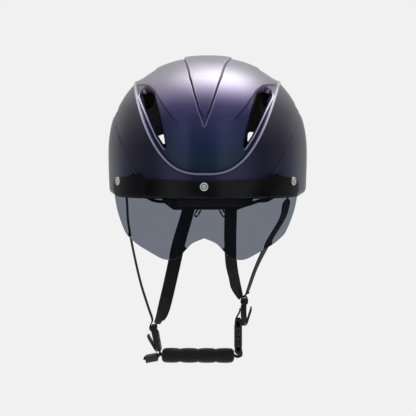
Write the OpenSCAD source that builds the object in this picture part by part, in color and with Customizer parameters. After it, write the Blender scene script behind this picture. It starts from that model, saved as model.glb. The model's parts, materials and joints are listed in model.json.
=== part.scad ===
// Urban bicycle helmet with a magnetic smoke visor, in millimetres.
// The front is -Y, up is +Z, and the origin is the centre of the rim plane, at the head opening.

/* [Shell] */
// Outside width of the shell, without the side wings
shell_w = 213; // [200:1:228]
// Outside length of the shell
shell_l = 286; // [270:1:300]
// Height of the shell above the rim, without the spine
shell_h = 149; // [140:1:160]
// Wall of the shell
shell_t = 2.2; // [1.8:0.1:2.8]
// Radius of the rolled lower edge
rim_r = 7.5; // [6.5:0.5:9]
// Height at which the side wall turns into the crown
belt_z = 45; // [40:1:50]
// How far the side wall draws in from the belt down to the rim
belt_draft = 1.5; // [0.5:0.1:2.5]

/* [Shell relief] */
// Height of the V-shaped spine above the crown
spine_h = 2.2; // [1:0.1:3]
// Width of the groove beside the spine
groove_w = 2; // [1.2:0.1:3]
// Depth of the groove beside the spine
groove_d = 1.1; // [0.5:0.1:1.3]
// Height of the ridge that bounds the centre panel
ridge_h = 1.6; // [0.8:0.1:2.4]
// Width of the ridge that bounds the centre panel
ridge_w = 3.2; // [2.4:0.1:4.5]
// Height of the raised side wings
wing_h = 1; // [0.6:0.1:1.3]
// Depth of the collars that line the vents
collar_d = 11; // [8:0.5:14]
// Wall of the collars that line the vents
collar_t = 1.4; // [1:0.1:2]

/* [Liner and pads] */
// Width of the head cavity in the foam
cavity_w = 163; // [155:1:170]
// Length of the head cavity in the foam
cavity_l = 216; // [208:1:222]
// Height of the head cavity above the rim
cavity_h = 119; // [112:1:124]
// Thickness of the lower rim cover
trim_t = 2.3; // [1.6:0.1:3]
// Thickness of the comfort pads
pad_t = 6; // [4:0.5:8]
// Thickness of the plastic head bands
band_t = 1.6; // [1.2:0.1:2]

/* [Visor] */
// Thickness of the smoke lens
lens_t = 2; // [1.6:0.1:2.4]
// Gap between the shell and the lens
lens_gap = 1.6; // [1.4:0.1:2.4]
// Thickness of the opaque brow band
brow_t = 1.6; // [1.2:0.1:2.4]
// Height of the lens between the rim plane and its lowest point
lens_drop = 61; // [50:1:68]
// Height of the nose notch below the rim plane
notch_drop = 39; // [30:1:44]
// Radius of the rivet heads
rivet_r = 4.5; // [3.6:0.1:5.5]

/* [Fit dial] */
// Number of teeth on the dial pinion
pinion_teeth = 12; // [10:1:14]
// Pitch radius of the dial pinion
pinion_r = 5; // [4.6:0.1:5.3]
// Radius of the dial knob
knob_r = 10.5; // [9:0.5:11]
// Height of the dial axis, which lies under the rear rim
dial_z = -11.5; // [-13:0.5:-11.5]

/* [Straps] */
// Width of the webbing
web_w = 15; // [12:0.5:16]
// Thickness of the webbing
web_t = 1.3; // [1:0.1:1.6]
// Distance from the divider's top bar to its lever pin
divider_l = 23.5; // [22:0.5:26]
// Length of the chin pad
chin_l = 77.6; // [70:1:84]
// Height of the chin pad at its lobes
chin_h = 16; // [13:0.5:19]
// Thickness of the side-release buckle
buckle_t = 8.4; // [7.6:0.2:10]

/* [Hidden] */

seat = 0.3; // gap between pieces that lie on each other
half_w = shell_w / 2;
half_l = shell_l / 2;
rim_in = rim_r + belt_draft - 0.3; // how far the opening's edge lies inside the full width
plan_front = 2.3; // squareness of the plan ahead of the centre
plan_rear = 2.1; // squareness of the plan behind the centre
crown_pow = 2.2; // squareness of the crown
columns = 48; // facets round the dome
crown_rows = 9; // facets from the belt to the crown
below = 20; // how far a cutting dome reaches under the rim
far = 200; // longer than any cut that it is used for

// Outlines of the vents as circles: [sideways or fore and aft, height, radius]
front_vent = [[60, 106.5, 8.6], [51.5, 84, 7], [44.8, 65, 4.6], [40, 52.5, 1.8]];
rear_vent = [[47, 61, 6], [46, 47, 5], [61, 46, 5], [60, 56, 6]];
side_slot_front = [[-46, 85, 4], [8, 103, 6.5]];
side_slot_rear = [[34, 104, 6.5], [84, 90, 4.5]];

// Half of the spine in plan, from its point on the brow to the tail
spine_half = [[1.2, -138.4], [5, -132], [10, -120.5], [15.5, -99], [23, -44], [27, 15], [28, 75], [24, 160]];
// Side wing seen from the side: the crease runs up and back from the end of the brow band
wing_outline = [[-117, -below], [-117, 24], [-102, 47], [-85, 64], [-64, 76], [-40, 82], [10, 88],
    [60, 84], [105, 66], [128, 40], [138, -below]];
ridge_x = 76; // half width of the centre panel at the crown
ridge_top = 119; // height at which the ridge has that width
ridge_pow = 2.85; // how square the U of the ridge is
ridge_front_z = 25; // lowest point of the ridge on the brow
ridge_rear_z = 78; // lowest point of the ridge on the tail

lens_w = half_w + lens_gap;
lens_l = half_l + lens_gap;
brow_w = lens_w + lens_t + 0.2;
brow_l = lens_l + lens_t + 0.2;
magnet_side_a = 51.4; // plan angle from the front to a side magnet
magnet_r = 5.2;
rivet_shank_r = 2.2;
// Plan angle and height of each magnet
magnet_places = [[270 - magnet_side_a, 17], [270, 12.6], [270 + magnet_side_a, 17]];
// Half of the lens, from the end of its top edge down and in to the nose notch
lens_half = [for (p = [[0.892, 14], [0.89, 2], [0.852, -0.256 * lens_drop], [0.778, -0.556 * lens_drop],
    [0.721, -0.666 * lens_drop], [0.636, -0.775 * lens_drop], [0.498, 6 - lens_drop], [0.402, 1 - lens_drop],
    [0.325, -lens_drop], [0.24, 3 - lens_drop], [0.175, -12 - notch_drop], [0.108, -5 - notch_drop],
    [0, -notch_drop]]) [p[0] * half_w, p[1]]];
// Half of the brow band's outline
brow_half = [for (p = [[0, 2], [0.873, 2], [0.906, 6], [0.906, 14], [0.864, 20.5], [0.751, 23], [0.68, 27.3],
    [0.62, 20.6], [0, 18]]) [p[0] * half_w, p[1]]];

// The fit dial: rear cradle, racks and pinion
pitch = 2 * PI * pinion_r / pinion_teeth;
tooth_h = 0.3 * pitch;
housing_y = [cavity_l / 2 - 13, cavity_l / 2 - 0.5];
housing_r = 9.25;
housing_x = 20;
rack_y = [housing_y[0] + 4.2, housing_y[0] + 7.8];
rack_mid = (rack_y[0] + rack_y[1]) / 2;
rack_back = 1.7;
yoke_r = housing_y[0] - 0.5;
yoke_z = [-21, -3];
shaft_r = 2.5;
run = 0.05; // radial clearance of a turning shaft

// Straps: their places at the rim and the dividers
strap_y = -10;
front_y = -0.3 * half_l; // the front straps' place along the shell
front_anchor = [(oval_x(front_y, cavity_w / 2, cavity_l / 2)
    + oval_x(front_y, half_w - rim_in, half_l - rim_in)) / 2, front_y];
rear_anchor = [25, (cavity_l / 2 + half_l) / 2 - 10.5];
anchor_z = [trim_t + seat, trim_t + 6.7];
anchor_size = [7, web_w + 7];
slot_w = web_w + 0.8;
slot_t = web_t + 0.8;
strap_top = anchor_z[0] + 2.9; // height at which a strap ends in its anchor
bar_r = 2.8; // top bar of a divider, which the straps wrap
left_bar = [-59.5, -145];
left_tilt = 10;
right_tilt = 2.5;
lever_open = 20; // how far the levers stand open
cheek_w = web_w / 2 + 3.1;
pin_r = 0.9;
hub_r = 1.7;
plate_x = [hub_r + web_t + 0.2, hub_r + web_t + 1.5]; // base plate of a divider
web_x = hub_r + 0.1 + web_t / 2; // middle of the webbing between hub and plate

// Chin assembly
chin_x = [left_bar[0] + divider_l * sin(left_tilt) + 6,
    left_bar[0] + divider_l * sin(left_tilt) + 6 + chin_l];
chin_z = left_bar[1] - divider_l * cos(left_tilt) - 7.5;
lobes = 4;
bar_small_r = 1.6;
loop_r = bar_small_r + seat + web_t / 2; // middle of webbing that wraps a small bar
buckle_x = chin_x[1] + 5;
right_bar = [buckle_x + 6.7, -116];
socket_bar = [buckle_x - 0.4, right_bar[1] - divider_l + 1.3];
mouth_z = socket_bar[1] - 19.3;
plug_bar = [buckle_x + 0.2, mouth_z - 10.8];
buckle_w = web_w + 11;
tongue_t = 2.8;
buckle_hole = [5, buckle_w - 3.6];

// Signed power, for squared ovals
function spow(v, p) = sign(v) * pow(abs(v), p);
// Point of a squared oval at plan angle a
function oval(a, w, l) =
    let (p = 2 / (sin(a) < -1e-6 ? plan_front : plan_rear))
    [w * spow(cos(a), p), l * spow(sin(a), p)];
// Outward direction of a squared oval at plan angle a
function oval_dir(a, w, l) =
    let (d = oval(a + 2, w, l) - oval(a - 2, w, l))
    [d[1], -d[0]] / norm(d);
// Half width of a squared oval at a place ahead of its centre
function oval_x(y, w, l) = w * pow(1 - pow(abs(y) / l, plan_front), 1 / plan_front);
function draft(z) = belt_draft * pow(max(0, belt_z - z) / belt_z, 2);
// Rows of the shell's surface, drawn in by off: [height, inset, share of the full plan]
function shell_rows(off) = concat(
    [for (a = [0:30:90]) let (r = rim_r - off, z = rim_r - r * cos(a))
        [z, rim_r - r * sin(a) + draft(z), 1]],
    [for (z = [belt_z / 2, belt_z]) [z, off + draft(z), 1]],
    crown(shell_h, off));
// Rows of a plain dome that reaches below the rim
function dome_rows(h, off) = concat([[-below, off, 1], [belt_z, off, 1]], crown(h, off));
function crown(h, off) = [for (i = [1:crown_rows]) let (a = 87 * i / crown_rows)
    [belt_z + (h - off - belt_z) * pow(sin(a), 2 / crown_pow), off, pow(cos(a), 2 / crown_pow)]];
// Height of a dome over a plan point
function dome_z(x, y, w, l, h) =
    let (m = y < 0 ? plan_front : plan_rear, s = pow(pow(abs(x) / w, m) + pow(abs(y) / l, m), 1 / m))
    belt_z + (h - belt_z) * pow(max(0, 1 - pow(s, crown_pow)), 1 / crown_pow);
function mirrored(half) = concat(half, [for (i = [len(half) - 1:-1:0]) if (half[i][0] != 0)
    [-half[i][0], half[i][1]]]);
// Smooth curve through the points of p, with steps pieces between two of them
function curve(p, steps) = concat([for (i = [0:len(p) - 2], k = [0:steps - 1])
    let (a = p[max(i - 1, 0)], b = p[i], c = p[i + 1], d = p[min(i + 2, len(p) - 1)], t = k / steps)
    (2 * b + (c - a) * t + (2 * a - 5 * b + 4 * c - d) * t * t + (3 * b - a - 3 * c + d) * t * t * t) / 2],
    [p[len(p) - 1]]);
// Outline of a flat strip of thickness t along the path p
function strip(p, t) =
    let (n = len(p), side = [for (i = [0:n - 1])
        let (d = p[min(i + 1, n - 1)] - p[max(i - 1, 0)]) [d[1], -d[0]] / norm(d) * t / 2])
    concat([for (i = [0:n - 1]) p[i] + side[i]], [for (i = [n - 1:-1:0]) p[i] - side[i]]);
function arc(c, r, from, to, n) = [for (i = [0:n]) let (a = from + (to - from) * i / n)
    c + r * [cos(a), sin(a)]];

// Triangles across a ring of n points that starts at point b, from its first points to its last ones
function cap_faces(n, b, up) = [for (j = [0:n / 2 - 2],
        f = [[j, j + 1, n - 1 - j], [j + 1, n - 2 - j, n - 1 - j]])
    up ? [b + f[0], b + f[2], b + f[1]] : [b + f[0], b + f[1], b + f[2]]];
// Solid from closed rings of points, each seen anticlockwise from the last one
module skin(rings) {
    n = len(rings[0]);
    m = len(rings);
    polyhedron([for (ring = rings) each ring], concat(cap_faces(n, 0, false),
        [for (i = [0:m - 2], j = [0:n - 1]) let (k = (j + 1) % n)
            [i * n + j, (i + 1) * n + j, (i + 1) * n + k]],
        [for (i = [0:m - 2], j = [0:n - 1]) let (k = (j + 1) % n)
            [i * n + j, (i + 1) * n + k, i * n + k]],
        cap_faces(n, (m - 1) * n, true)));
}
// Dome from rows of [height, inset, share]
module dome(rows, w, l) skin([for (r = rows) [for (j = [0:columns - 1])
    let (p = oval(360 * j / columns, w - r[1], l - r[1]) * r[2]) [p[0], p[1], r[0]]]]);
module shell_dome(off) dome(shell_rows(off), half_w, half_l);
module cavity_dome(off) dome(dome_rows(cavity_h, off), cavity_w / 2, cavity_l / 2);
// Space between two offsets of the shell's surface
module shell_layer(top, bottom) difference() {
    shell_dome(top);
    dome(dome_rows(shell_h, bottom), half_w, half_l);
}
// Prism along Y of a shape drawn in X and Z, from y0 to y1
module along_y(y0, y1) translate([0, y1, 0]) rotate([90, 0, 0]) linear_extrude(y1 - y0) children();
// Prism along X of a shape drawn in Y and Z
module along_x(x0, x1) translate([x0, 0, 0]) rotate([90, 0, 90]) linear_extrude(x1 - x0) children();
module both_sides() {
    children();
    mirror([1, 0, 0]) children();
}
module chain(p) for (i = [0:len(p) - 2]) hull() {
    translate([p[i][0], p[i][1]]) circle(p[i][2], $fn = 16);
    translate([p[i + 1][0], p[i + 1][1]]) circle(p[i + 1][2], $fn = 16);
}
module ring(inner, outer, z0, z1) translate([0, 0, z0]) linear_extrude(z1 - z0) difference() {
    polygon([for (j = [0:95]) oval(j * 3.75, outer[0], outer[1])]);
    polygon([for (j = [0:95]) oval(j * 3.75, inner[0], inner[1])]);
}

// The vents' holes, widened by grow
module vents(grow) {
    both_sides() {
        along_y(-half_l, -30) offset(delta = grow) chain(front_vent);
        along_y(40, half_l) offset(delta = grow) hull() chain(rear_vent);
        along_x(60, half_w + 5) offset(delta = grow) chain(side_slot_front);
        along_x(60, half_w + 5) offset(delta = grow) chain(side_slot_rear);
    }
}
// The U of the ridge as a line of width w, over the front or the rear half
module ridge_band(low) {
    reach = 84;
    area = concat([[reach, far], [-reach, far]], [for (x = [-reach:8:reach])
        [x, low + (ridge_top - low) * pow(abs(x) / ridge_x, ridge_pow)]]);
    difference() {
        offset(delta = ridge_w / 2) polygon(area);
        offset(delta = -ridge_w / 2) polygon(area);
    }
}
module spine_plan(grow) offset(delta = grow) polygon(mirrored(spine_half));

module outer_shell() color([0.2, 0.19, 0.33]) difference() {
    union() {
        difference() {
            union() {
                difference() {
                    raised_shell();
                    intersection() {
                        shell_layer(-spine_h - 1, groove_d);
                        translate([0, 0, belt_z + 1.3]) linear_extrude(far) spine_plan(groove_w);
                    }
                }
                intersection() {
                    shell_dome(-spine_h);
                    translate([0, 0, rim_r + 1]) linear_extrude(far) spine_plan(0);
                }
            }
            shell_dome(shell_t);
            translate([0, 0, -below]) linear_extrude(below + rim_r) polygon([for (j = [0:columns - 1])
                oval(360 * (j + 0.5) / columns, half_w - rim_in, half_l - rim_in)]);
        }
        intersection() {
            shell_layer(0.3, collar_d);
            vents(collar_t);
        }
    }
    vents(0);
}
// The solid shell with the ridge round its centre panel and its side wings
module raised_shell() {
    shell_dome(0);
    intersection() {
        shell_dome(-ridge_h);
        union() {
            along_y(-far, 3.3) ridge_band(ridge_front_z);
            along_y(2.1, far) ridge_band(ridge_rear_z);
        }
    }
    intersection() {
        shell_dome(-wing_h);
        translate([-far, -far, 0]) cube([2 * far, 2 * far, far]);
        both_sides() along_x(30, far) polygon(wing_outline);
    }
}

module eps_liner() color([0.1, 0.1, 0.11]) difference() {
    intersection() {
        shell_dome(shell_t + seat);
        translate([-far, -far, trim_t + seat]) cube([2 * far, 2 * far, far]);
    }
    cavity_dome(0);
    vents(collar_t + seat);
    both_sides() intersection() {
        dome(dome_rows(shell_h, 16), half_w, half_l);
        translate([40, -95, belt_z + 1]) cube([16, 190, far]);
    }
    intersection() {
        dome(dome_rows(shell_h, 16), half_w, half_l);
        translate([-7.3, -95, belt_z + 1]) cube([14.6, 190, far]);
    }
    both_sides() {
        anchor_block(front_anchor, 0, seat);
        anchor_block(rear_anchor, 90, seat);
        translate([cavity_w / 2 - 4, -8, 12]) rotate([0, 90, 0]) cylinder(h = 8.3, r = 3.3, $fn = 24);
    }
    for (z = [9, 21]) translate([0, cavity_l / 2 - 1, z]) rotate([-90, 0, 0])
        cylinder(h = 4.3, r = 2.8, $fn = 24);
}

module rim_trim() color([0.05, 0.05, 0.06]) {
    outset = rim_in + 2 * seat;
    difference() {
        ring([cavity_w / 2, cavity_l / 2], [half_w - outset, half_l - outset], 0, trim_t);
        both_sides() {
            translate([front_anchor[0] - slot_t / 2, front_anchor[1] - slot_w / 2, -1])
                cube([slot_t, slot_w, 5]);
            translate([rear_anchor[0] - slot_w / 2, rear_anchor[1] - slot_t / 2, -1])
                cube([slot_w, slot_t, 5]);
        }
    }
}

// A cylinder set across the shell's wall at a magnet's place, from d0 to d1 outside it
module at_magnet(place, d0, d1, r) {
    d = oval_dir(place[0], half_w, half_l);
    p = oval(place[0], half_w, half_l);
    translate([p[0] + d[0] * d0, p[1] + d[1] * d0, place[1]]) rotate([90, 0, atan2(d[1], d[0]) + 90])
        cylinder(h = d1 - d0, r = r, $fn = 48);
}
module shell_magnets() color([0.1, 0.1, 0.11]) for (m = magnet_places)
    at_magnet(m, (abs(m[0] - 270) > 1 ? wing_h : 0) - draft(m[1]) + 0.1, lens_gap - 0.35, magnet_r);

// A crowned pad on the cavity's side wall between two plan angles and two heights
module wall_pad(a0, a1, z0, z1, off, t) {
    across = 8;
    skin([for (i = [0:12]) let (a = a0 + (a1 - a0) * i / 12, u = 2 * i / 12 - 1,
            cap = pow(max(0, 1 - pow(abs(u), 6)), 0.5),
            low = z0 + (1 - cap) * (z1 - z0) * 0.3, high = z1 - (1 - cap) * (z1 - z0) * 0.3)
        concat(
            [for (k = [0:across]) let (v = k / across, q = oval(a, cavity_w / 2 - off, cavity_l / 2 - off))
                [q[0], q[1], low + (high - low) * v]],
            [for (k = [across:-1:0]) let (v = k / across,
                    bulge = pow(max(0, 1 - pow(abs(2 * v - 1), 3)), 0.5),
                    swell = 1.2 + (t - 1.2) * bulge * (0.3 + 0.7 * cap),
                    q = oval(a, cavity_w / 2 - off - swell, cavity_l / 2 - off - swell))
                [q[0], q[1], low + (high - low) * v]])]);
}
module brow_pad() color([0.06, 0.06, 0.07]) wall_pad(308, 232, 5, 24, band_t + 2 * seat, pad_t);
module side_pads() color([0.06, 0.06, 0.07]) both_sides() wall_pad(16, -14, 21.5, 43, seat, pad_t);
module crown_pads() color([0.06, 0.06, 0.07]) both_sides() {
    w = cavity_w / 2;
    l = cavity_l / 2;
    across = 6;
    skin([for (i = [0:16]) let (u = i / 8 - 1, y = 58 * u, cap = pow(max(0, 1 - pow(abs(u), 6)), 0.5),
            half = 4 + 7 * cap)
        concat(
            [for (k = [0:across]) let (x = 24 + half * (2 * k / across - 1))
                [x, y, dome_z(x, y, w, l, cavity_h) - seat - 0.5]],
            [for (k = [across:-1:0]) let (s = 2 * k / across - 1, x = 24 + half * s)
                [x, y, dome_z(x, y, w, l, cavity_h) - seat - 1.5
                    - (pad_t - 1.5) * pow(max(0, 1 - pow(abs(s), 3)), 0.5) * (0.3 + 0.7 * cap)]])]);
}

module front_band() color([0.07, 0.07, 0.08]) translate([0, 0, 5]) linear_extrude(15) polygon(concat(
    [for (a = [360:-5:180]) oval(a, cavity_w / 2 - seat, cavity_l / 2 - seat)],
    [for (a = [180:5:360]) oval(a, cavity_w / 2 - seat - band_t, cavity_l / 2 - seat - band_t)]));

module headband_anchors() color([0.07, 0.07, 0.08]) both_sides() {
    x = cavity_w / 2 - seat;
    translate([x + 0.1, -8, 12]) rotate([0, 90, 0]) cylinder(h = 4, r = 3, $fn = 48);
}

module cradle_stem() color([0.07, 0.07, 0.08]) {
    y = cavity_l / 2 - 2 * seat;
    translate([-7, y - 2, dial_z + housing_r + seat]) cube([14, 2, 30]);
    for (z = [9, 21]) translate([0, y - 0.1, z]) rotate([-90, 0, 0]) cylinder(h = 3.5, r = 2.5, $fn = 48);
}

module nape_yoke() color([0.07, 0.07, 0.08]) {
    half_a = 29;
    rotate([0, 0, 90 - half_a]) rotate_extrude(angle = 2 * half_a, $fn = 96)
        translate([yoke_r - 2.3, yoke_z[0]]) square([2.3, yoke_z[1] - yoke_z[0]]);
    both_sides() translate([14.5, yoke_r - 2.1, -23.5]) rotate([0, -38, 0]) difference() {
        translate([-2.5, -1, -6]) cube([5, 2, 12]);
        translate([-1.3, -2, -4.8]) cube([2.6, 4, 9.6]);
    }
}

module nape_pad() color([0.06, 0.06, 0.07]) {
    half_a = 25;
    across = 6;
    r = yoke_r - 2.3 - seat;
    pad_z = yoke_z[0] + 3;
    pad_h = yoke_z[1] - pad_z - 1;
    skin([for (i = [0:12])
        let (u = i / 6 - 1, a = 90 - half_a * u, cap = pow(max(0, 1 - pow(abs(u), 6)), 0.5))
        concat(
            [for (k = [0:across]) let (z = pad_z + pad_h * k / across) [r * cos(a), r * sin(a), z]],
            [for (k = [across:-1:0]) let (v = 2 * k / across - 1, z = pad_z + pad_h * k / across,
                    q = r - 1.2 - 3.4 * pow(max(0, 1 - pow(abs(v), 3)), 0.5) * (0.3 + 0.7 * cap))
                [q * cos(a), q * sin(a), z]])]);
}

module dial_housing() color([0.07, 0.07, 0.08]) {
    slot_h = 2 * (pinion_r + tooth_h / 2 + rack_back + 0.6);
    translate([0, 0, dial_z]) difference() {
        union() {
            translate([-housing_x, housing_y[0], -housing_r])
                cube([2 * housing_x, housing_y[1] - housing_y[0], 2 * housing_r]);
            for (s = [-1, 1]) translate([s * housing_x, housing_y[0], 0]) rotate([-90, 0, 0])
                cylinder(h = housing_y[1] - housing_y[0], r = housing_r, $fn = 64);
        }
        translate([0, 0, -far / 2]) cylinder(h = far, r = yoke_r + seat, $fn = 128);
        translate([-far / 2, rack_y[0] - 0.4, -slot_h / 2]) cube([far, rack_y[1] - rack_y[0] + 0.8, slot_h]);
        translate([0, rack_y[0], 0]) rotate([-90, 0, 0]) cylinder(h = far, r = shaft_r + run, $fn = 64);
        translate([0, rack_y[0] - 2, 0]) rotate([-90, 0, 0]) cylinder(h = 4, r = 1.5 + run, $fn = 48);
    }
}

module dial_pinion() color([0.55, 0.55, 0.57]) translate([0, 0, dial_z]) {
    top = pinion_r + tooth_h / 2;
    root = pinion_r - tooth_h / 2 - 0.3;
    step = 360 / pinion_teeth;
    translate([0, rack_y[1], 0]) rotate([90, 0, 0]) linear_extrude(rack_y[1] - rack_y[0])
        polygon([for (i = [0:pinion_teeth - 1], k = [[-0.27, root], [-0.12, top], [0.12, top], [0.27, root]])
            let (a = 90 + step * (i + k[0])) k[1] * [cos(a), sin(a)]]);
    translate([0, rack_y[1] - 1, 0]) rotate([-90, 0, 0]) cylinder(h = 12, r = shaft_r, $fn = 64);
    translate([0, rack_y[0] - 1.7, 0]) rotate([-90, 0, 0]) cylinder(h = 2.5, r = 1.5, $fn = 48);
}

module dial_knob() color([0.09, 0.09, 0.1]) translate([0, housing_y[1] + seat, dial_z]) rotate([-90, 0, 0])
    difference() {
        union() {
            cylinder(h = 6.5, r = knob_r, $fn = 72);
            translate([0, 0, 6.5]) cylinder(h = 1.5, r1 = knob_r, r2 = knob_r - 1.5, $fn = 72);
        }
        for (a = [0:20:340]) rotate([0, 0, a]) translate([knob_r + 0.9, 0, -1])
            cylinder(h = 12, r = 1.6, $fn = 24);
        translate([0, 0, -1]) cylinder(h = 7.5, r = shaft_r + 0.02, $fn = 64);
    }

// Rack and arm of the head band: side is -1 on the left, whose rack runs over the pinion
module headband(side, path) {
    up = -side;
    line = pinion_r;
    low = line - tooth_h / 2;
    back = line + tooth_h / 2 + 0.3;
    translate([0, 0, dial_z]) mirror([side > 0 ? 1 : 0, 0, 0]) mirror([0, 0, up > 0 ? 0 : 1]) {
        translate([-27, rack_y[0], back]) cube([27 + 2 * pitch, rack_y[1] - rack_y[0], rack_back]);
        along_y(rack_y[0], rack_y[1]) polygon(concat([[-4 * pitch, back + 0.5]],
            [for (i = [-4:1], k = [[0.23, back - 0.01], [0.4, low], [0.6, low], [0.77, back - 0.01]])
                [(i + k[0]) * pitch, k[1]]], [[2 * pitch, back + 0.5]]));
    }
    c = curve(path, 4);
    n = len(c);
    skin([for (i = [0:n - 1]) let (d = c[min(i + 1, n - 1)] - c[max(i - 1, 0)],
            e = [d[1], -d[0], 0] / norm([d[0], d[1]]) * 1.1, h = [0, 0, 1.8])
        [c[i] - e - h, c[i] - e + h, c[i] + e + h, c[i] + e - h]]);
}

// Arm's points ahead of the rack: shares of the cavity's half width and half length, and heights
module headband_left() color([0.07, 0.07, 0.08]) headband(-1, concat(
    [[-26.5, rack_mid, dial_z + 5.7], [-35.5, rack_mid - 0.3, dial_z + 5.7],
        [-44.5, rack_mid - 4.8, dial_z + 5.2]],
    [for (q = [[-0.638, 0.824, -7], [-0.81, 0.62, -4.5], [-0.92, 0.352, 0], [-0.961, 0.074, 3.5]])
        [q[0] * cavity_w / 2, q[1] * cavity_l / 2, q[2]]]));
module headband_right() color([0.07, 0.07, 0.08]) headband(1, concat(
    [[26.5, rack_mid, dial_z - 5.6], [35.5, rack_mid - 0.3, dial_z - 5.5],
        [44.5, rack_mid - 4.8, dial_z - 3.6]],
    [for (q = [[0.638, 0.824, -12], [0.81, 0.62, -6.5], [0.92, 0.352, 0], [0.961, 0.074, 3.5]])
        [q[0] * cavity_w / 2, q[1] * cavity_l / 2, q[2]]]));

// Block that a strap's end sits in, turned by a and widened by grow
module anchor_block(place, a, grow) translate([place[0], place[1], anchor_z[0] - grow]) rotate([0, 0, a])
    translate([-anchor_size[0] / 2 - grow, -anchor_size[1] / 2 - grow, 0])
        cube([anchor_size[0] + 2 * grow, anchor_size[1] + 2 * grow, anchor_z[1] - anchor_z[0] + 2 * grow]);
module anchor(place, a) difference() {
    anchor_block(place, a, 0);
    translate([place[0], place[1], -1]) rotate([0, 0, a])
        translate([-slot_t / 2, -slot_w / 2, 0]) cube([slot_t, slot_w, strap_top + 1.5]);
}
module strap_anchors_front() color([0.08, 0.08, 0.09]) both_sides() anchor(front_anchor, 0);
module strap_anchors_rear() color([0.08, 0.08, 0.09]) both_sides() anchor(rear_anchor, 90);

// Flat webbing through stations of [point, direction of its width]
module webbing(stations) {
    p = curve([for (s = stations) s[0]], 3);
    w = curve([for (s = stations) s[1]], 3);
    n = len(p);
    skin([for (i = [0:n - 1]) let (d = p[min(i + 1, n - 1)] - p[max(i - 1, 0)],
            t = cross(d, w[i]), side = cross(t, d), e = side / norm(side) * web_w / 2,
            h = t / norm(t) * web_t / 2)
        [p[i] - e - h, p[i] + e - h, p[i] + e + h, p[i] - e + h]]);
}
// A strap's first stations: straight down through its slot, then leaning by lean
function strap_start(x, y, wide, lean) = [[[x, y, strap_top], wide], [[x, y, -1.5], wide],
    [[x + lean[0], y + lean[1], -8], wide]];
// A strap's last stations: straight down on a divider's bar, at dx beside its middle, from dx_above
function strap_end(bar, dx, dx_above) = [
    [[bar[0] + dx_above, strap_y, bar[1] + bar_r + 8], [0, 1, 0]],
    [[bar[0] + dx, strap_y, bar[1] + bar_r + 3], [0, 1, 0]],
    [[bar[0] + dx, strap_y, bar[1] + bar_r + 0.5], [0, 1, 0]]];
module front_strap_left() color([0.1, 0.1, 0.11]) webbing(concat(
    strap_start(-front_anchor[0], front_anchor[1], [0, 1, 0], [0.5, 1]),
    [[[-85.5, -36, -40], [0.05, 1, 0]], [[-79, -29, -69], [0.06, 1, 0]], [[-72.5, -22, -96], [0.05, 1, 0]],
        [[-64.8, -13, -125], [0, 1, 0]]],
    strap_end(left_bar, -1.2, -1.9)));
module front_strap_right() color([0.1, 0.1, 0.11]) webbing(concat(
    strap_start(front_anchor[0], front_anchor[1], [0, 1, 0], [-1.4, 1]),
    [[[80, -36, -26], [0.25, 1, 0]], [[67, -28, -53], [0.22, 1, 0]], [[53, -19, -83], [0.12, 1, 0]]],
    strap_end(right_bar, 1.2, 4.2)));
module rear_strap_left() color([0.1, 0.1, 0.11]) webbing(concat(
    strap_start(-rear_anchor[0], rear_anchor[1], [1, 0, 0], [-0.2, -0.7]),
    [[[-26.2, rear_anchor[1] - 5.5, -23], [1, -0.1, 0]], [[-36, 70.5, -60], [1, -0.2, 0]],
        [[-42.7, 44, -86.5], [1, -0.2, 0]], [[-45.2, 22, -107.5], [1, 0, 0]],
        [[-49, 6, -122.5], [0.8, 0.6, 0]], [[-53.4, -5, -130.5], [0.3, 1, 0]]],
    strap_end(left_bar, 1.2, 3)));
module rear_strap_right() color([0.1, 0.1, 0.11]) webbing(concat(
    strap_start(rear_anchor[0], rear_anchor[1], [1, 0, 0], [-0.2, -0.7]),
    [[[23.8, rear_anchor[1] - 5.5, -23], [1, 0, 0]], [[24, 62, -58], [0.9, 0.3, 0]],
        [[26.5, 29, -82], [0.8, 0.4, 0]], [[30, 9, -95.5], [0.6, 0.7, 0]],
        [[34, -3.5, -102.5], [0.3, 1, 0]]],
    strap_end(right_bar, -1.2, -2.6)));

// Divider in its own frame: the lever pin is the origin and the top bar lies straight above it

module divider() difference() {
    cheek = [[-1.9, 0], [-1.7, 9], [-2.4, divider_l - 1.4], [2.4, divider_l - 1.4],
        [plate_x[1], divider_l - 7], [plate_x[1], -2], [0.6, -2.3], [-1.6, -1.7]];
    union() {
        translate([0, -cheek_w, divider_l]) rotate([-90, 0, 0])
            cylinder(h = 2 * cheek_w, r = bar_r, $fn = 48);
        translate([plate_x[0], -cheek_w, -2]) cube([plate_x[1] - plate_x[0], 2 * cheek_w, divider_l - 5]);
        for (y = [-cheek_w, cheek_w - 1.8]) along_y(y, y + 1.8) polygon(cheek);
    }
    translate([0, -cheek_w - 1, 0]) rotate([-90, 0, 0])
        cylinder(h = 2 * cheek_w + 2, r = pin_r + 0.02, $fn = 32);
    for (z = [6.5, 12.5]) translate([plate_x[0] - 1, -5, z]) cube([5, 10, 3]);
}
module lever() rotate([0, -lever_open, 0]) difference() {
    union() {
        translate([0, 2.1 - cheek_w, 0]) rotate([-90, 0, 0])
            cylinder(h = 2 * cheek_w - 4.2, r = hub_r, $fn = 48);
        translate([-2.5, 2.1 - cheek_w, 0]) cube([2, 2 * cheek_w - 4.2, 15.5]);
        translate([-1.8, 2.1 - cheek_w, 15.4]) rotate([0, 17, 0]) translate([-0.7, 0, 0])
            cube([1.8, 2 * cheek_w - 4.2, 2.6]);
    }
    translate([0, -cheek_w - 1, 0]) rotate([-90, 0, 0])
        cylinder(h = 2 * cheek_w + 2, r = pin_r + run, $fn = 32);
    for (y = [-5.4, -1.8, 1.8, 5.4]) translate([-3, y - 0.6, 4]) cube([1, 1.2, 9]);
}
module lever_pin() translate([0, -cheek_w, 0]) rotate([-90, 0, 0])
    cylinder(h = 2 * cheek_w, r = pin_r, $fn = 32);
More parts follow.
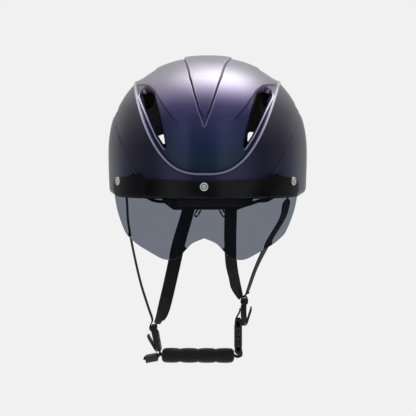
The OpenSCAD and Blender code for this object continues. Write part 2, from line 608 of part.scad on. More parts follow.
// Plan point of a divider's own X and Z, on the left and on the right
function left_at(x, z) = left_bar + [x * cos(left_tilt) - (z - divider_l) * sin(left_tilt),
    x * sin(left_tilt) + (z - divider_l) * cos(left_tilt)];
function right_at(x, z) = right_bar + [-x * cos(right_tilt) - (z - divider_l) * sin(right_tilt),
    -x * sin(right_tilt) + (z - divider_l) * cos(right_tilt)];
module on_left() translate([left_bar[0], strap_y, left_bar[1]]) rotate([0, -left_tilt, 0])
    translate([0, 0, -divider_l]) children();
module on_right() translate([right_bar[0], strap_y, right_bar[1]]) rotate([0, -right_tilt, 0])
    translate([0, 0, -divider_l]) mirror([1, 0, 0]) children();
module divider_left() color([0.09, 0.09, 0.1]) on_left() divider();
module divider_right() color([0.09, 0.09, 0.1]) on_right() divider();
module lever_left() color([0.1, 0.1, 0.11]) on_left() lever();
module lever_right() color([0.1, 0.1, 0.11]) on_right() lever();
module lever_pin_left() color([0.6, 0.6, 0.62]) on_left() lever_pin();
module lever_pin_right() color([0.6, 0.6, 0.62]) on_right() lever_pin();

// Webbing that stays in one plane: a strip along a path drawn in X and Z
module flat_webbing(path) along_y(strap_y - web_w / 2, strap_y + web_w / 2) polygon(strip(path, web_t));

module buckle_webbing() color([0.1, 0.1, 0.11]) flat_webbing(concat(
    curve([right_at(plate_x[1] + seat + web_t / 2, 15), right_at(plate_x[1] + seat + web_t / 2, 12.5),
        socket_bar + [-0.4, 6], socket_bar + [-2.3, 2.4]], 3),
    arc(socket_bar, loop_r, 168, 385, 10),
    [socket_bar + [1.8, 3.6]]));

// Rounded plate of the buckle, seen from above
module buckle_plan(w, t) offset(r = 1.6, $fn = 24) square([t - 3.2, w - 3.2], center = true);
module buckle_socket() color([0.09, 0.09, 0.1]) translate([buckle_x, strap_y, 0]) {
    difference() {
        translate([0, 0, mouth_z]) linear_extrude(14.5) buckle_plan(buckle_w, buckle_t);
        translate([-buckle_hole[0] / 2, -buckle_hole[1] / 2, mouth_z - 1])
            cube([buckle_hole[0], buckle_hole[1], 12.8]);
        for (s = [-1, 1]) translate([-2.2, s * (buckle_w / 2 - 1) - 2, mouth_z + 3.6]) cube([4.4, 4, 8.2]);
    }
    for (y = [-buckle_w / 2 + 1, buckle_w / 2 - 4]) translate([-1.8, y, mouth_z + 14.3])
        cube([3.6, 3, socket_bar[1] - mouth_z - 14.3]);
    translate([socket_bar[0] - buckle_x, 1 - buckle_w / 2, socket_bar[1]]) rotate([-90, 0, 0])
        cylinder(h = buckle_w - 2, r = bar_small_r, $fn = 48);
}
module buckle_plug() color([0.09, 0.09, 0.1]) translate([buckle_x, strap_y, 0]) {
    difference() {
        translate([0, 0, mouth_z - 7.3]) linear_extrude(7) buckle_plan(buckle_w, buckle_t);
        for (s = [-1, 1]) translate([-1.9, s * 7.6 - 3.6, mouth_z - 3]) cube([3.8, 7.2, 4]);
    }
    translate([-tongue_t / 2, -2.6, mouth_z - 1]) cube([tongue_t, 5.2, 12]);
    for (y = [-buckle_w / 2 + 1, buckle_w / 2 - 4]) translate([-1.8, y, plug_bar[1] - 0.6])
        cube([3.6, 3, 4.6]);
    translate([plug_bar[0] - buckle_x, 1 - buckle_w / 2, plug_bar[1]]) rotate([-90, 0, 0])
        cylinder(h = buckle_w - 2, r = bar_small_r, $fn = 48);
}
// One sprung arm of the plug, with the button that shows in the socket's window
module release_arm() color([0.09, 0.09, 0.1]) translate([-tongue_t / 2, 7.6, mouth_z - 2.6]) {
    cube([tongue_t, 2.4, 13.6]);
    translate([0, 0, 7]) cube([tongue_t, buckle_w / 2 - 7.3, 6.6]);
}
module release_front() translate([buckle_x, strap_y, 0]) mirror([0, 1, 0]) release_arm();
module release_rear() translate([buckle_x, strap_y, 0]) release_arm();

module chin_webbing() color([0.1, 0.1, 0.11]) flat_webbing(concat(
    [left_at(web_x, 9), left_at(web_x, 0)],
    curve([left_at(web_x, -2.6), [chin_x[0] - 2.8, chin_z + 2.4], [chin_x[0] - 1.2, chin_z + 0.5],
        [chin_x[0] + 0.9, chin_z]], 3),
    [[chin_x[0] + chin_l / 2, chin_z]],
    curve([[chin_x[1] + 0.8, chin_z], [chin_x[1] + 4.5, chin_z - 1.2], [plug_bar[0] + 3.8, plug_bar[1] - 6.6],
        [plug_bar[0] + 3.5, plug_bar[1] - 3]], 3),
    arc(plug_bar, loop_r, 0, 190, 8),
    [plug_bar + [-3, -2.8]]));

// Quilted tube over the chin webbing, with one swelling per lobe
module chin_pad() color([0.07, 0.07, 0.08]) difference() {
    rings = 6 * lobes;
    sides = 16;
    skin([for (i = [0:rings]) let (u = i / rings, x = chin_x[0] + chin_l * u,
            swell = sqrt(abs(sin(180 * lobes * u))), end = min(1, 12 * min(u, 1 - u) + 0.72))
        [for (j = [0:sides - 1]) let (a = 360 * j / sides)
            [x, strap_y + (web_w / 2 + 2.1 + 1.2 * swell) * (0.5 + end / 2) * cos(a),
                chin_z + (chin_h / 2 - 2.6 + 2.6 * swell) * end * sin(a)]]]);
    translate([chin_x[0] - 5, strap_y - slot_w / 2, chin_z - slot_t / 2]) cube([chin_l + 10, slot_w, slot_t]);
}

module at_tail() translate([chin_x[0] - 3.2, strap_y, chin_z + 0.1]) rotate([0, -11, 0]) children();
module strap_tail() color([0.1, 0.1, 0.11]) at_tail()
    translate([-17.5, -web_w / 2, -web_t]) cube([17.5, web_w, 2 * web_t]);
module tail_keeper() color([0.12, 0.12, 0.13]) at_tail() difference() {
    translate([-15.5, -web_w / 2 - 2, -4.8]) cube([13, web_w + 4, 7]);
    translate([-17, -web_w / 2 - 0.4, -web_t - 0.4]) cube([16, web_w + 0.8, 2 * web_t + 0.8]);
}

// Curved wall that hangs in front of the shell, cut to an outline drawn in X and Z
module visor_wall(w, l, t, half) intersection() {
    ring([w, l], [w + t, l + t], -lens_drop - 20, belt_z);
    along_y(-far, -0.28 * half_l) polygon(mirrored(half));
}
module rivet_holes() for (m = magnet_places)
    at_magnet(m, 0, lens_gap + lens_t + brow_t + 5, rivet_shank_r + run);
module visor_lens() color([0.35, 0.37, 0.42, 0.5]) difference() {
    visor_wall(lens_w, lens_l, lens_t, curve(lens_half, 3));
    rivet_holes();
}
module visor_band() color([0.04, 0.04, 0.05]) difference() {
    visor_wall(brow_w, brow_l, brow_t, brow_half);
    rivet_holes();
}
module visor_rivets() color([0.75, 0.75, 0.77]) for (m = magnet_places) {
    face = lens_gap + lens_t + 0.2 + brow_t;
    d = oval_dir(m[0], half_w, half_l);
    p = oval(m[0], half_w, half_l);
    translate([p[0], p[1], m[1]]) rotate([90, 0, atan2(d[1], d[0]) + 90]) rotate_extrude($fn = 48)
        polygon(concat([[0, lens_gap + 0.1], [rivet_shank_r, lens_gap + 0.1], [rivet_shank_r, face + 0.2]],
            [for (a = [0:15:90]) [rivet_r * cos(a), face + 0.2 + 0.5 + 1.4 * sin(a)] ]));
}

outer_shell();
eps_liner();
rim_trim();
shell_magnets();
brow_pad();
side_pads();
crown_pads();
front_band();
headband_anchors();
cradle_stem();
nape_yoke();
nape_pad();
dial_housing();
dial_pinion();
dial_knob();
headband_left();
headband_right();
strap_anchors_front();
strap_anchors_rear();
front_strap_left();
front_strap_right();
rear_strap_left();
rear_strap_right();
divider_left();
divider_right();
lever_left();
lever_right();
lever_pin_left();
lever_pin_right();
buckle_webbing();
buckle_socket();
buckle_plug();
release_front();
release_rear();
chin_webbing();
chin_pad();
strap_tail();
tail_keeper();
visor_lens();
visor_band();
visor_rivets();
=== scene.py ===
import json
import math

import bmesh
import bpy
import numpy as np
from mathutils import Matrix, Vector


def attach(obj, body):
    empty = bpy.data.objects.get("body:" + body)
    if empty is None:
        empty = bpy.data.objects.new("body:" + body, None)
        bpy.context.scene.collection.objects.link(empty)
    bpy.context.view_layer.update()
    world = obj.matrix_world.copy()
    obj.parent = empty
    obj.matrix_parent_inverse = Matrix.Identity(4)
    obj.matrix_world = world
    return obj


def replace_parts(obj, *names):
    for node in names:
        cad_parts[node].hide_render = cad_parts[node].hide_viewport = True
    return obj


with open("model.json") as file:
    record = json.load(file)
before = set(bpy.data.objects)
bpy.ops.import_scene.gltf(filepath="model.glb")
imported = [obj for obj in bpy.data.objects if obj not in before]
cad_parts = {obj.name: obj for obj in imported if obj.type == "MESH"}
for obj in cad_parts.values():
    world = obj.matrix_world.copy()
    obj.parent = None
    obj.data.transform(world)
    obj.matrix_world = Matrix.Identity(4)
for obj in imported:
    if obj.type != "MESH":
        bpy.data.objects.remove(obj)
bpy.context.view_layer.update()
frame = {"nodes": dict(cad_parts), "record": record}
MM = 0.001
scene = bpy.context.scene

# Sizes that the CAD source states, in millimetres
HALF_W, HALF_L, SHELL_H = 106.5, 143.0, 149.0
RIM_R, RIM_IN, BELT_Z, DRAFT = 7.5, 8.7, 45.0, 1.5
PLAN_FRONT, PLAN_REAR, CROWN_POW = 2.3, 2.1, 2.2
CAVITY_W, CAVITY_L = 81.5, 108.0
# Mean of the half width and the half length, by which a share of the plan counts as millimetres
MEAN_HALF = 125
SPINE = [(1.2, -138.4), (5, -132), (10, -120.5), (15.5, -99), (23, -44), (27, 15), (28, 75), (24, 160)]
WING = [(-117, -20), (-117, 24), (-102, 47), (-85, 64), (-64, 76), (-40, 82), (10, 88), (60, 84), (105, 66),
        (128, 40), (138, -20)]
FRONT_VENT = [(60, 106.5, 8.6), (51.5, 84, 7), (44.8, 65, 4.6), (40, 52.5, 1.8)]
REAR_VENT = [(47, 65.5, 5), (46.5, 59.6, 5), (60, 57.8, 5), (60, 61.6, 5)]
SIDE_VENTS = [[(-46, 85, 4), (8, 103, 6.5)], [(34, 104, 6.5), (84, 90, 4.5)]]
# The ridge round the centre panel: its top, its half width there, its ends, and its lowest points before and
# behind the place where the crown is highest
RIDGE_TOP, RIDGE_HALF, RIDGE_END, RIDGE_POW = 119, 76, 84, 2.85
RIDGE_LOW, RIDGE_LOW_REAR, CROWN_Y = 25.0, 78.0, 2.7
SKIN_T = 1.5


def new_object(name, data):
    obj = bpy.data.objects.new(name, data)
    scene.collection.objects.link(obj)
    return obj


def aim(obj, target):
    obj.rotation_euler = (Vector(target) - obj.location).to_track_quat("-Z", "Y").to_euler()


def make_camera():
    """Camera at the photograph's angle."""
    azimuth, elevation, distance = math.radians(1.5), math.radians(2.5), 1.7
    target = Vector((0, 0, -0.015))
    data = bpy.data.cameras.new("camera")
    data.lens = 134.5
    data.sensor_width = 36
    camera = new_object("camera", data)
    level = distance * math.cos(elevation)
    camera.location = target + Vector((level * math.sin(azimuth), -level * math.cos(azimuth),
                                       distance * math.sin(elevation)))
    aim(camera, target)
    scene.camera = camera


make_camera()
scene.view_settings.view_transform = "Standard"


# Materials
class Nodes:
    """Short way to write the nodes of a material or of the world."""

    def __init__(self, owner):
        owner.use_nodes = True
        self.owner = owner
        self.tree = owner.node_tree
        self.shader = self.tree.nodes.get("Principled BSDF")
        self.coord = self.tree.nodes.new("ShaderNodeTexCoord")

    def node(self, kind, *links, **values):
        made = self.tree.nodes.new("ShaderNode" + kind)
        for key, value in values.items():
            if hasattr(made, key):
                setattr(made, key, value)
            else:
                made.inputs[key.replace("_", " ")].default_value = value
        for socket, source in links:
            self.tree.links.new(source, made.inputs[socket])
        return made

    def set(self, **values):
        for key, value in values.items():
            self.shader.inputs[key.replace("_", " ")].default_value = value

    def link(self, source, socket):
        self.tree.links.new(source, self.shader.inputs[socket])

    def noise(self, scale, detail=3.0):
        return self.node("TexNoise", ("Vector", self.coord.outputs["Object"]), Scale=scale,
                         Detail=detail).outputs["Fac"]

    def ramp(self, source, stops):
        """Colour ramp; a stop is a place with a colour or a grey."""
        made = self.node("ValToRGB", ("Fac", source))
        ends = made.color_ramp.elements
        while len(ends) < len(stops):
            ends.new(0.5)
        for end, (place, colour) in zip(ends, stops):
            end.position = place
            end.color = (*(colour if isinstance(colour, tuple) else (colour,) * 3), 1)
        return made.outputs["Color"]

    def math(self, how, *sources):
        made = self.node("Math", operation=how)
        for socket, source in zip(made.inputs, sources):
            if isinstance(source, (int, float)):
                socket.default_value = source
            else:
                self.tree.links.new(source, socket)
        return made.outputs[0]

    def times(self, a, b):
        return self.math("MULTIPLY", a, b)

    def plus(self, a, b):
        return self.math("ADD", a, b)

    def mix(self, factor, a, b, how="MIX"):
        made = self.node("Mix", data_type="RGBA", blend_type=how)
        for i, source in ((0, factor), (6, a), (7, b)):
            if isinstance(source, (int, float, tuple)):
                made.inputs[i].default_value = (*source, 1) if isinstance(source, tuple) else source
            else:
                self.tree.links.new(source, made.inputs[i])
        return made.outputs[2]

    def bump(self, height, distance):
        self.link(self.node("Bump", ("Height", height), Distance=distance).outputs[0], "Normal")


def material_nodes(name):
    return Nodes(bpy.data.materials.new(name))


def tint(colour, times, plus=0.0):
    return tuple(c * times + plus for c in colour)


def plastic(name, colour, roughness, metallic=0.0, gloss=0.5):
    """Moulded plastic or metal: fine spark-eroded grain, faint colour drift, and sharp edges lightened as a
    painted highlight.
    """
    m = material_nodes(name)
    drift = m.noise(35.0)
    base = m.ramp(drift, [(0.35, tint(colour, 0.75)), (0.65, tint(colour, 1.2, 0.004))])
    # sharp convex edges are lightened: a painted highlight
    edge = m.node("NewGeometry").outputs["Pointiness"]
    painted_edge_highlight = m.times(m.ramp(edge, [(0.52, 0), (0.62, 1)]), 0.5)
    m.link(m.mix(painted_edge_highlight, base, tint(colour, 1.9, 0.02)), "Base Color")
    m.link(m.ramp(drift, [(0.3, roughness - 0.06), (0.7, roughness + 0.06)]), "Roughness")
    m.set(Metallic=metallic, Specular_IOR_Level=gloss)
    m.bump(m.noise(900.0, 5.0), 0.00006)
    return m.owner


def woven(name, colour):
    """Webbing. The UV map is in metres, u across and v along, and the threads lie slanted on it."""
    pitch = 0.0011
    m = material_nodes(name)
    uv = m.node("Mapping", ("Vector", m.coord.outputs["UV"]), Rotation=(0, 0, math.radians(45)),
                Scale=(1 / pitch,) * 3).outputs[0]
    u, v = m.node("SeparateXYZ", ("Vector", uv)).outputs[:2]
    across = m.math("ABSOLUTE", m.math("SINE", m.times(u, 2 * math.pi)))
    along = m.math("ABSOLUTE", m.math("SINE", m.times(v, 2 * math.pi)))
    check = m.math("SINE", m.times(m.plus(u, v), math.pi))
    over = m.math("GREATER_THAN", check, 0.0)
    threads = m.plus(m.times(across, over), m.times(along, m.math("SUBTRACT", 1.0, over)))
    height = m.plus(m.times(threads, 0.8), m.times(m.noise(2500.0, 4.0), 0.35))
    # the weave's low gaps between threads are darker: painted shade
    base = m.ramp(height, [(0.1, tint(colour, 0.45)), (0.9, tint(colour, 1.35, 0.006))])
    m.link(m.mix(m.times(m.noise(40.0), 0.35), base, tint(colour, 0.7)), "Base Color")
    m.set(Roughness=0.85, Sheen_Weight=0.12, Sheen_Roughness=0.4)
    m.bump(height, 0.00022)
    return m.owner


def mesh_cloth(name, colour):
    """Knitted spacer cloth of the pads: small round cells in an even pattern."""
    m = material_nodes(name)
    cells = m.node("TexVoronoi", ("Vector", m.coord.outputs["Object"]), Scale=420.0)
    height = m.plus(cells.outputs["Distance"], m.times(m.noise(1800.0, 4.0), 0.3))
    # darker in the pits of the cells: painted shade
    m.link(m.ramp(height, [(0.15, tint(colour, 0.4)), (0.7, tint(colour, 1.3))]), "Base Color")
    m.set(Roughness=0.9, Sheen_Weight=0.25, Sheen_Roughness=0.5)
    m.bump(height, 0.0004)
    return m.owner


def bead_foam(name):
    """Expanded foam: beads pressed against each other."""
    m = material_nodes(name)
    cells = m.node("TexVoronoi", ("Vector", m.coord.outputs["Object"]), Scale=310.0,
                   feature="DISTANCE_TO_EDGE").outputs["Distance"]
    seams = m.ramp(cells, [(0.0, (0.004, 0.004, 0.0045)), (0.22, (0.02, 0.02, 0.022))])
    m.link(m.mix(m.times(m.noise(22.0), 0.5), seams, (0.03, 0.03, 0.032)), "Base Color")
    m.set(Roughness=0.72)
    m.bump(m.math("MINIMUM", cells, 0.25), 0.0005)
    return m.owner


def shell_paint():
    """Metallic paint that fades from lavender grey on the crown to navy and near black on the brow: partly
    the paint's own colour shift, partly painted light, lighter on the crown and darker on the brow as the
    light falls.
    """
    m = material_nodes("shell_paint")
    height = m.node("SeparateXYZ", ("Vector", m.coord.outputs["Object"])).outputs[2]
    share = m.times(height, 1 / 0.152)
    # colour by height: the paint's colour shift plus painted light, lightened on the crown and darkened on
    # the brow
    centre = m.ramp(share, [(0.0, (0.014, 0.026, 0.050)), (0.26, (0.025, 0.052, 0.108)),
                            (0.42, (0.037, 0.055, 0.165)), (0.54, (0.070, 0.068, 0.21)),
                            (0.62, (0.135, 0.115, 0.28)), (0.70, (0.32, 0.27, 0.44)),
                            (0.80, (0.49, 0.46, 0.55)), (1.0, (0.50, 0.49, 0.54))])
    side = m.ramp(share, [(0.0, (0.046, 0.050, 0.130)), (0.35, (0.044, 0.040, 0.080)),
                          (0.60, (0.072, 0.064, 0.092)), (0.8, (0.24, 0.23, 0.26)),
                          (1.0, (0.4, 0.385, 0.43))])
    panel, edge = (m.node("Attribute", attribute_name=name).outputs["Fac"] for name in ("panel", "edge"))
    colour = m.mix(panel, side, centre)
    # painted highlight: the crests of the ridge, spine, vent lips and wings whiten, more towards the crown,
    # and turn less metallic
    painted_highlight = m.ramp(share, [(0.0, (0.14, 0.14, 0.27)), (0.35, (0.40, 0.39, 0.58)), (0.6, (0.95, 0.93, 1.0))])
    # painted shade: near black in the grooves, creases and troughs beside the crests
    painted_shade = m.math("MAXIMUM", m.times(edge, -1.0), 0.0)
    raised = m.math("MAXIMUM", edge, 0.0)
    colour = m.mix(m.times(painted_shade, 0.75), colour, (0.006, 0.006, 0.012))
    colour = m.mix(m.times(raised, 0.85), colour, painted_highlight)
    flakes = m.node("TexVoronoi", ("Vector", m.coord.outputs["Object"]), Scale=2600.0)
    sparkle = m.ramp(flakes.outputs["Color"], [(0.2, 0.86), (0.9, (1.18, 1.18, 1.2))])
    m.link(m.mix(1.0, colour, sparkle, "MULTIPLY"), "Base Color")
    m.link(m.ramp(m.noise(18.0), [(0.3, 0.30), (0.7, 0.36)]), "Roughness")
    m.link(m.math("MULTIPLY_ADD", raised, -0.6, 0.7), "Metallic")
    m.set(Coat_Weight=0.5, Coat_Roughness=0.06)
    m.bump(m.noise(900.0, 2.0), 0.00003)
    return m.owner


def smoke_lens():
    """Tinted polycarbonate: each of its two surfaces takes away part of the light."""
    m = material_nodes("lens_smoke")
    haze = m.noise(60.0)
    m.link(m.ramp(haze, [(0.3, (0.176, 0.193, 0.231)), (0.7, (0.182, 0.200, 0.238))]), "Base Color")
    m.link(m.ramp(haze, [(0.3, 0.015), (0.7, 0.04)]), "Roughness")
    m.set(Transmission_Weight=0.98, IOR=1.04, Specular_IOR_Level=0.5)
    return m.owner


# Meshes
def shade_smooth(obj, sharp=None):
    """Smooth faces; edges that turn by more than sharp degrees stay crisp."""
    obj.data.polygons.foreach_set("use_smooth", [True] * len(obj.data.polygons))
    if sharp:
        obj.data.set_sharp_from_angle(angle=math.radians(sharp))
    return obj


def add(name, points, faces, material, sharp=38, uv=None):
    mesh = bpy.data.meshes.new(name)
    mesh.from_pydata([tuple(p) for p in points], [], [tuple(f) for f in faces])
    if uv is not None:
        layer = mesh.uv_layers.new(name="UVMap")
        corners = np.fromiter((corner.vertex_index for corner in mesh.loops), int, len(mesh.loops))
        layer.data.foreach_set("uv", np.array(uv, dtype=float)[corners].ravel())
    mesh.materials.append(material)
    mesh.validate()
    obj = new_object(name, mesh)
    return shade_smooth(obj, sharp) if sharp else obj


def place(obj, body, slot, *nodes):
    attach(obj, body)
    if nodes:
        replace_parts(obj, *nodes)
    return obj


def apply(obj):
    """Turns the modifiers into mesh."""
    graph = bpy.context.evaluated_depsgraph_get()
    done = bpy.data.meshes.new_from_object(obj.evaluated_get(graph))
    obj.modifiers.clear()
    done.name = obj.data.name + "_done"
    obj.data = done


def round_edges(obj, width, angle):
    """Bevels the edges that turn by more than an angle."""
    edge = obj.modifiers.new("edge", "BEVEL")
    edge.width = width * MM
    edge.segments = 2
    edge.limit_method = "ANGLE"
    edge.angle_limit = math.radians(angle)
    apply(obj)
    return obj


def face_outward(obj):
    bm = bmesh.new()
    bm.from_mesh(obj.data)
    bmesh.ops.recalc_face_normals(bm, faces=bm.faces)
    bm.to_mesh(obj.data)
    bm.free()
    return obj


def cad_mesh(node):
    """A CAD piece in the common frame, as a bmesh with its corners joined."""
    source = frame["nodes"][node]
    bm = bmesh.new()
    bm.from_mesh(source.data)
    bm.transform(source.matrix_world)
    bmesh.ops.remove_doubles(bm, verts=bm.verts, dist=2e-6)
    return bm


def tube_faces(rings, sides, base=0, capped=True):
    """Faces of a tube: rings of points that follow each other from the point numbered base."""
    faces = []
    for i in range(rings - 1):
        near, far = base + i * sides, base + (i + 1) * sides
        for j in range(sides):
            k = (j + 1) % sides
            faces.append([near + j, near + k, far + k, far + j])
    if capped:
        last = base + (rings - 1) * sides
        faces += [list(range(base, base + sides))[::-1], list(range(last, last + sides))]
    return faces


def sheet_faces(rows, across):
    """Faces of a closed sheet: two layers of rows of points, joined round their border."""
    layer = rows * across
    faces = []
    for k in range(0, layer - across, across):
        for i in range(k, k + across - 1):
            face = [i, i + 1, i + across + 1, i + across]
            faces += [face, [layer + v for v in face[::-1]]]
    border = list(range(across)) + list(range(2 * across - 1, layer, across))
    border += list(range(layer - 2, layer - across - 1, -1)) + list(range(layer - 2 * across, 0, -across))
    for u, v in zip(border, border[1:] + border[:1]):
        faces.append([v, u, layer + u, layer + v])
    return faces


def smoothstep(a, b, v):
    t = np.clip((v - a) / (b - a), 0, 1)
    return t * t * (3 - 2 * t)


def catmull(points, steps):
    """Smooth curve through points, as the CAD draws it."""
    p = np.array(points, dtype=float)
    out = []
    for i in range(len(p) - 1):
        a, b, c, d = p[max(i - 1, 0)], p[i], p[i + 1], p[min(i + 2, len(p) - 1)]
        for k in range(steps):
            t = k / steps
            out.append((2 * b + (c - a) * t + (2 * a - 5 * b + 4 * c - d) * t ** 2
                        + (3 * b - a - 3 * c + d) * t ** 3) / 2)
    out.append(p[-1])
    return np.array(out)


# The shell's own surface
def spow(v, p):
    """Power of a number's size, with its sign kept."""
    return np.sign(v) * np.abs(v) ** p


def oval(a, w, l):
    p = np.where(np.sin(a) < -1e-9, 2 / PLAN_FRONT, 2 / PLAN_REAR)
    return w * spow(np.cos(a), p), l * spow(np.sin(a), p)


def oval_reach(v, w, l):
    """How far the front half of the oval, w by l, reaches sideways where its length is v."""
    return w * (1 - (abs(v) / l) ** PLAN_FRONT) ** (1 / PLAN_FRONT)


def draft(z):
    return DRAFT * (max(0.0, BELT_Z - z) / BELT_Z) ** 2


def shell_profile():
    """Rows of the shell from its rim's inner edge to the crown, [height, inset, share], and their run."""
    rows = [(6.5, RIM_IN + 0.02, 1), (4.5, RIM_IN + 0.01, 1), (2.0, RIM_IN, 1), (0.7, RIM_IN - 0.15, 1),
            (0.12, RIM_IN - 0.6, 1)]
    for a in np.radians(np.linspace(0, 90, 13)):
        z = RIM_R - RIM_R * math.cos(a)
        rows.append((z, RIM_R - RIM_R * math.sin(a) + draft(z), 1))
    for z in np.linspace(RIM_R, BELT_Z, 31)[1:]:
        rows.append((z, draft(z), 1))
    angles = np.linspace(0, math.radians(89.6), 4000)
    height = BELT_Z + (SHELL_H - BELT_Z) * np.sin(angles) ** (2 / CROWN_POW)
    share = np.cos(angles) ** (2 / CROWN_POW)
    length = np.concatenate([[0], np.cumsum(np.hypot(np.diff(height), np.diff(share) * MEAN_HALF))])
    for d in np.linspace(0, length[-1], 132)[1:]:
        rows.append((np.interp(d, length, height), 0, np.interp(d, length, share)))
    rows = np.array(rows)
    rise, inward, narrow = np.diff(rows, axis=0).T
    run = np.concatenate([[0], np.cumsum(np.hypot(rise, inward + MEAN_HALF * narrow))])
    return rows, run


def segment_reach(px, pz, ax, az, bx, bz):
    """Distance of points from a straight line's stretch, and how far along it each one's nearest place is."""
    dx, dz = bx - ax, bz - az
    t = np.clip(((px - ax) * dx + (pz - az) * dz) / (dx * dx + dz * dz), 0, 1)
    return np.hypot(px - ax - t * dx, pz - az - t * dz), t


def polyline_distance(px, pz, line):
    """Distance of points from a polyline, both in one plane."""
    best = np.full(px.shape, 1e9)
    for a, b in zip(line[:-1], line[1:]):
        best = np.minimum(best, segment_reach(px, pz, *a, *b)[0])
    return best


def inside_polygon(px, pz, line):
    line = np.array(line, dtype=float)
    hit = np.zeros(px.shape, bool)
    for (ax, az), (bx, bz) in zip(line, np.roll(line, -1, axis=0)):
        if az == bz:
            continue
        cross = (az > pz) != (bz > pz)
        hit ^= cross & (px < (bx - ax) * (pz - az) / (bz - az) + ax)
    return hit


def chain_distance(px, pz, chain):
    """Signed distance from a row of joined circles, negative inside."""
    best = np.full(np.shape(px), 1e9)
    for (ax, az, ar), (bx, bz, br) in zip(chain[:-1], chain[1:]):
        d, t = segment_reach(px, pz, ax, az, bx, bz)
        best = np.minimum(best, d - (ar + (br - ar) * t))
    return best


def ridge_height(low, x):
    return low + (RIDGE_TOP - low) * (x / RIDGE_HALF) ** RIDGE_POW


def ridge_line(low):
    return [(x, ridge_height(low, x)) for x in np.linspace(0, RIDGE_END, 60)]


# Crease above each front vent, half of it as [sideways, height]
CREASE = [(77, 118), (66, 117.5), (59, 116), (52.5, 111), (47.5, 103), (40, 92), (31, 81.5), (20, 73),
          (8, 68.5), (0, 68)]


def surface_z(x, y):
    """Height of the plain dome over a point of its plan."""
    power = np.where(np.asarray(y) < 0, PLAN_FRONT, PLAN_REAR)
    wide, long = HALF_W - DRAFT, HALF_L - DRAFT
    share = (np.abs(x / wide) ** power + np.abs(y / long) ** power) ** (1 / power)
    return BELT_Z + (SHELL_H - BELT_Z) * (1 - np.minimum(share, 1) ** CROWN_POW) ** (1 / CROWN_POW)


def space_distance(points, line):
    """Distance in space from each point to a line of close stations."""
    best = np.full(len(points), 1e9)
    for a, b in zip(line[:-1], line[1:]):
        along = b - a
        t = np.clip((points - a) @ along / (along @ along), 0, 1)
        best = np.minimum(best, np.linalg.norm(points - a - t[:, None] * along, axis=1))
    return best


def spine_line():
    """Outline of the raised spine in space, from its pointed tip over the crown to the rear."""
    stations = np.array([(0.0, -137.7)] + SPINE[1:])
    y = np.concatenate([np.linspace(-137.7, -110, 40), np.linspace(-108, 132, 60)])
    x = np.interp(y, stations[:, 1], stations[:, 0])
    return np.stack([x, y, surface_z(x, y)], axis=1)


SPINE_LINE = spine_line()
VENT_X, VENT_Z, _ = np.array(FRONT_VENT[::-1]).T


def band(distance, centre, width, power=2):
    """Soft band: 1 at one distance and fading to both sides."""
    return np.exp(-((distance - centre) / width) ** power)


def signed_distance(inside, distance):
    return np.where(inside, -distance, distance)


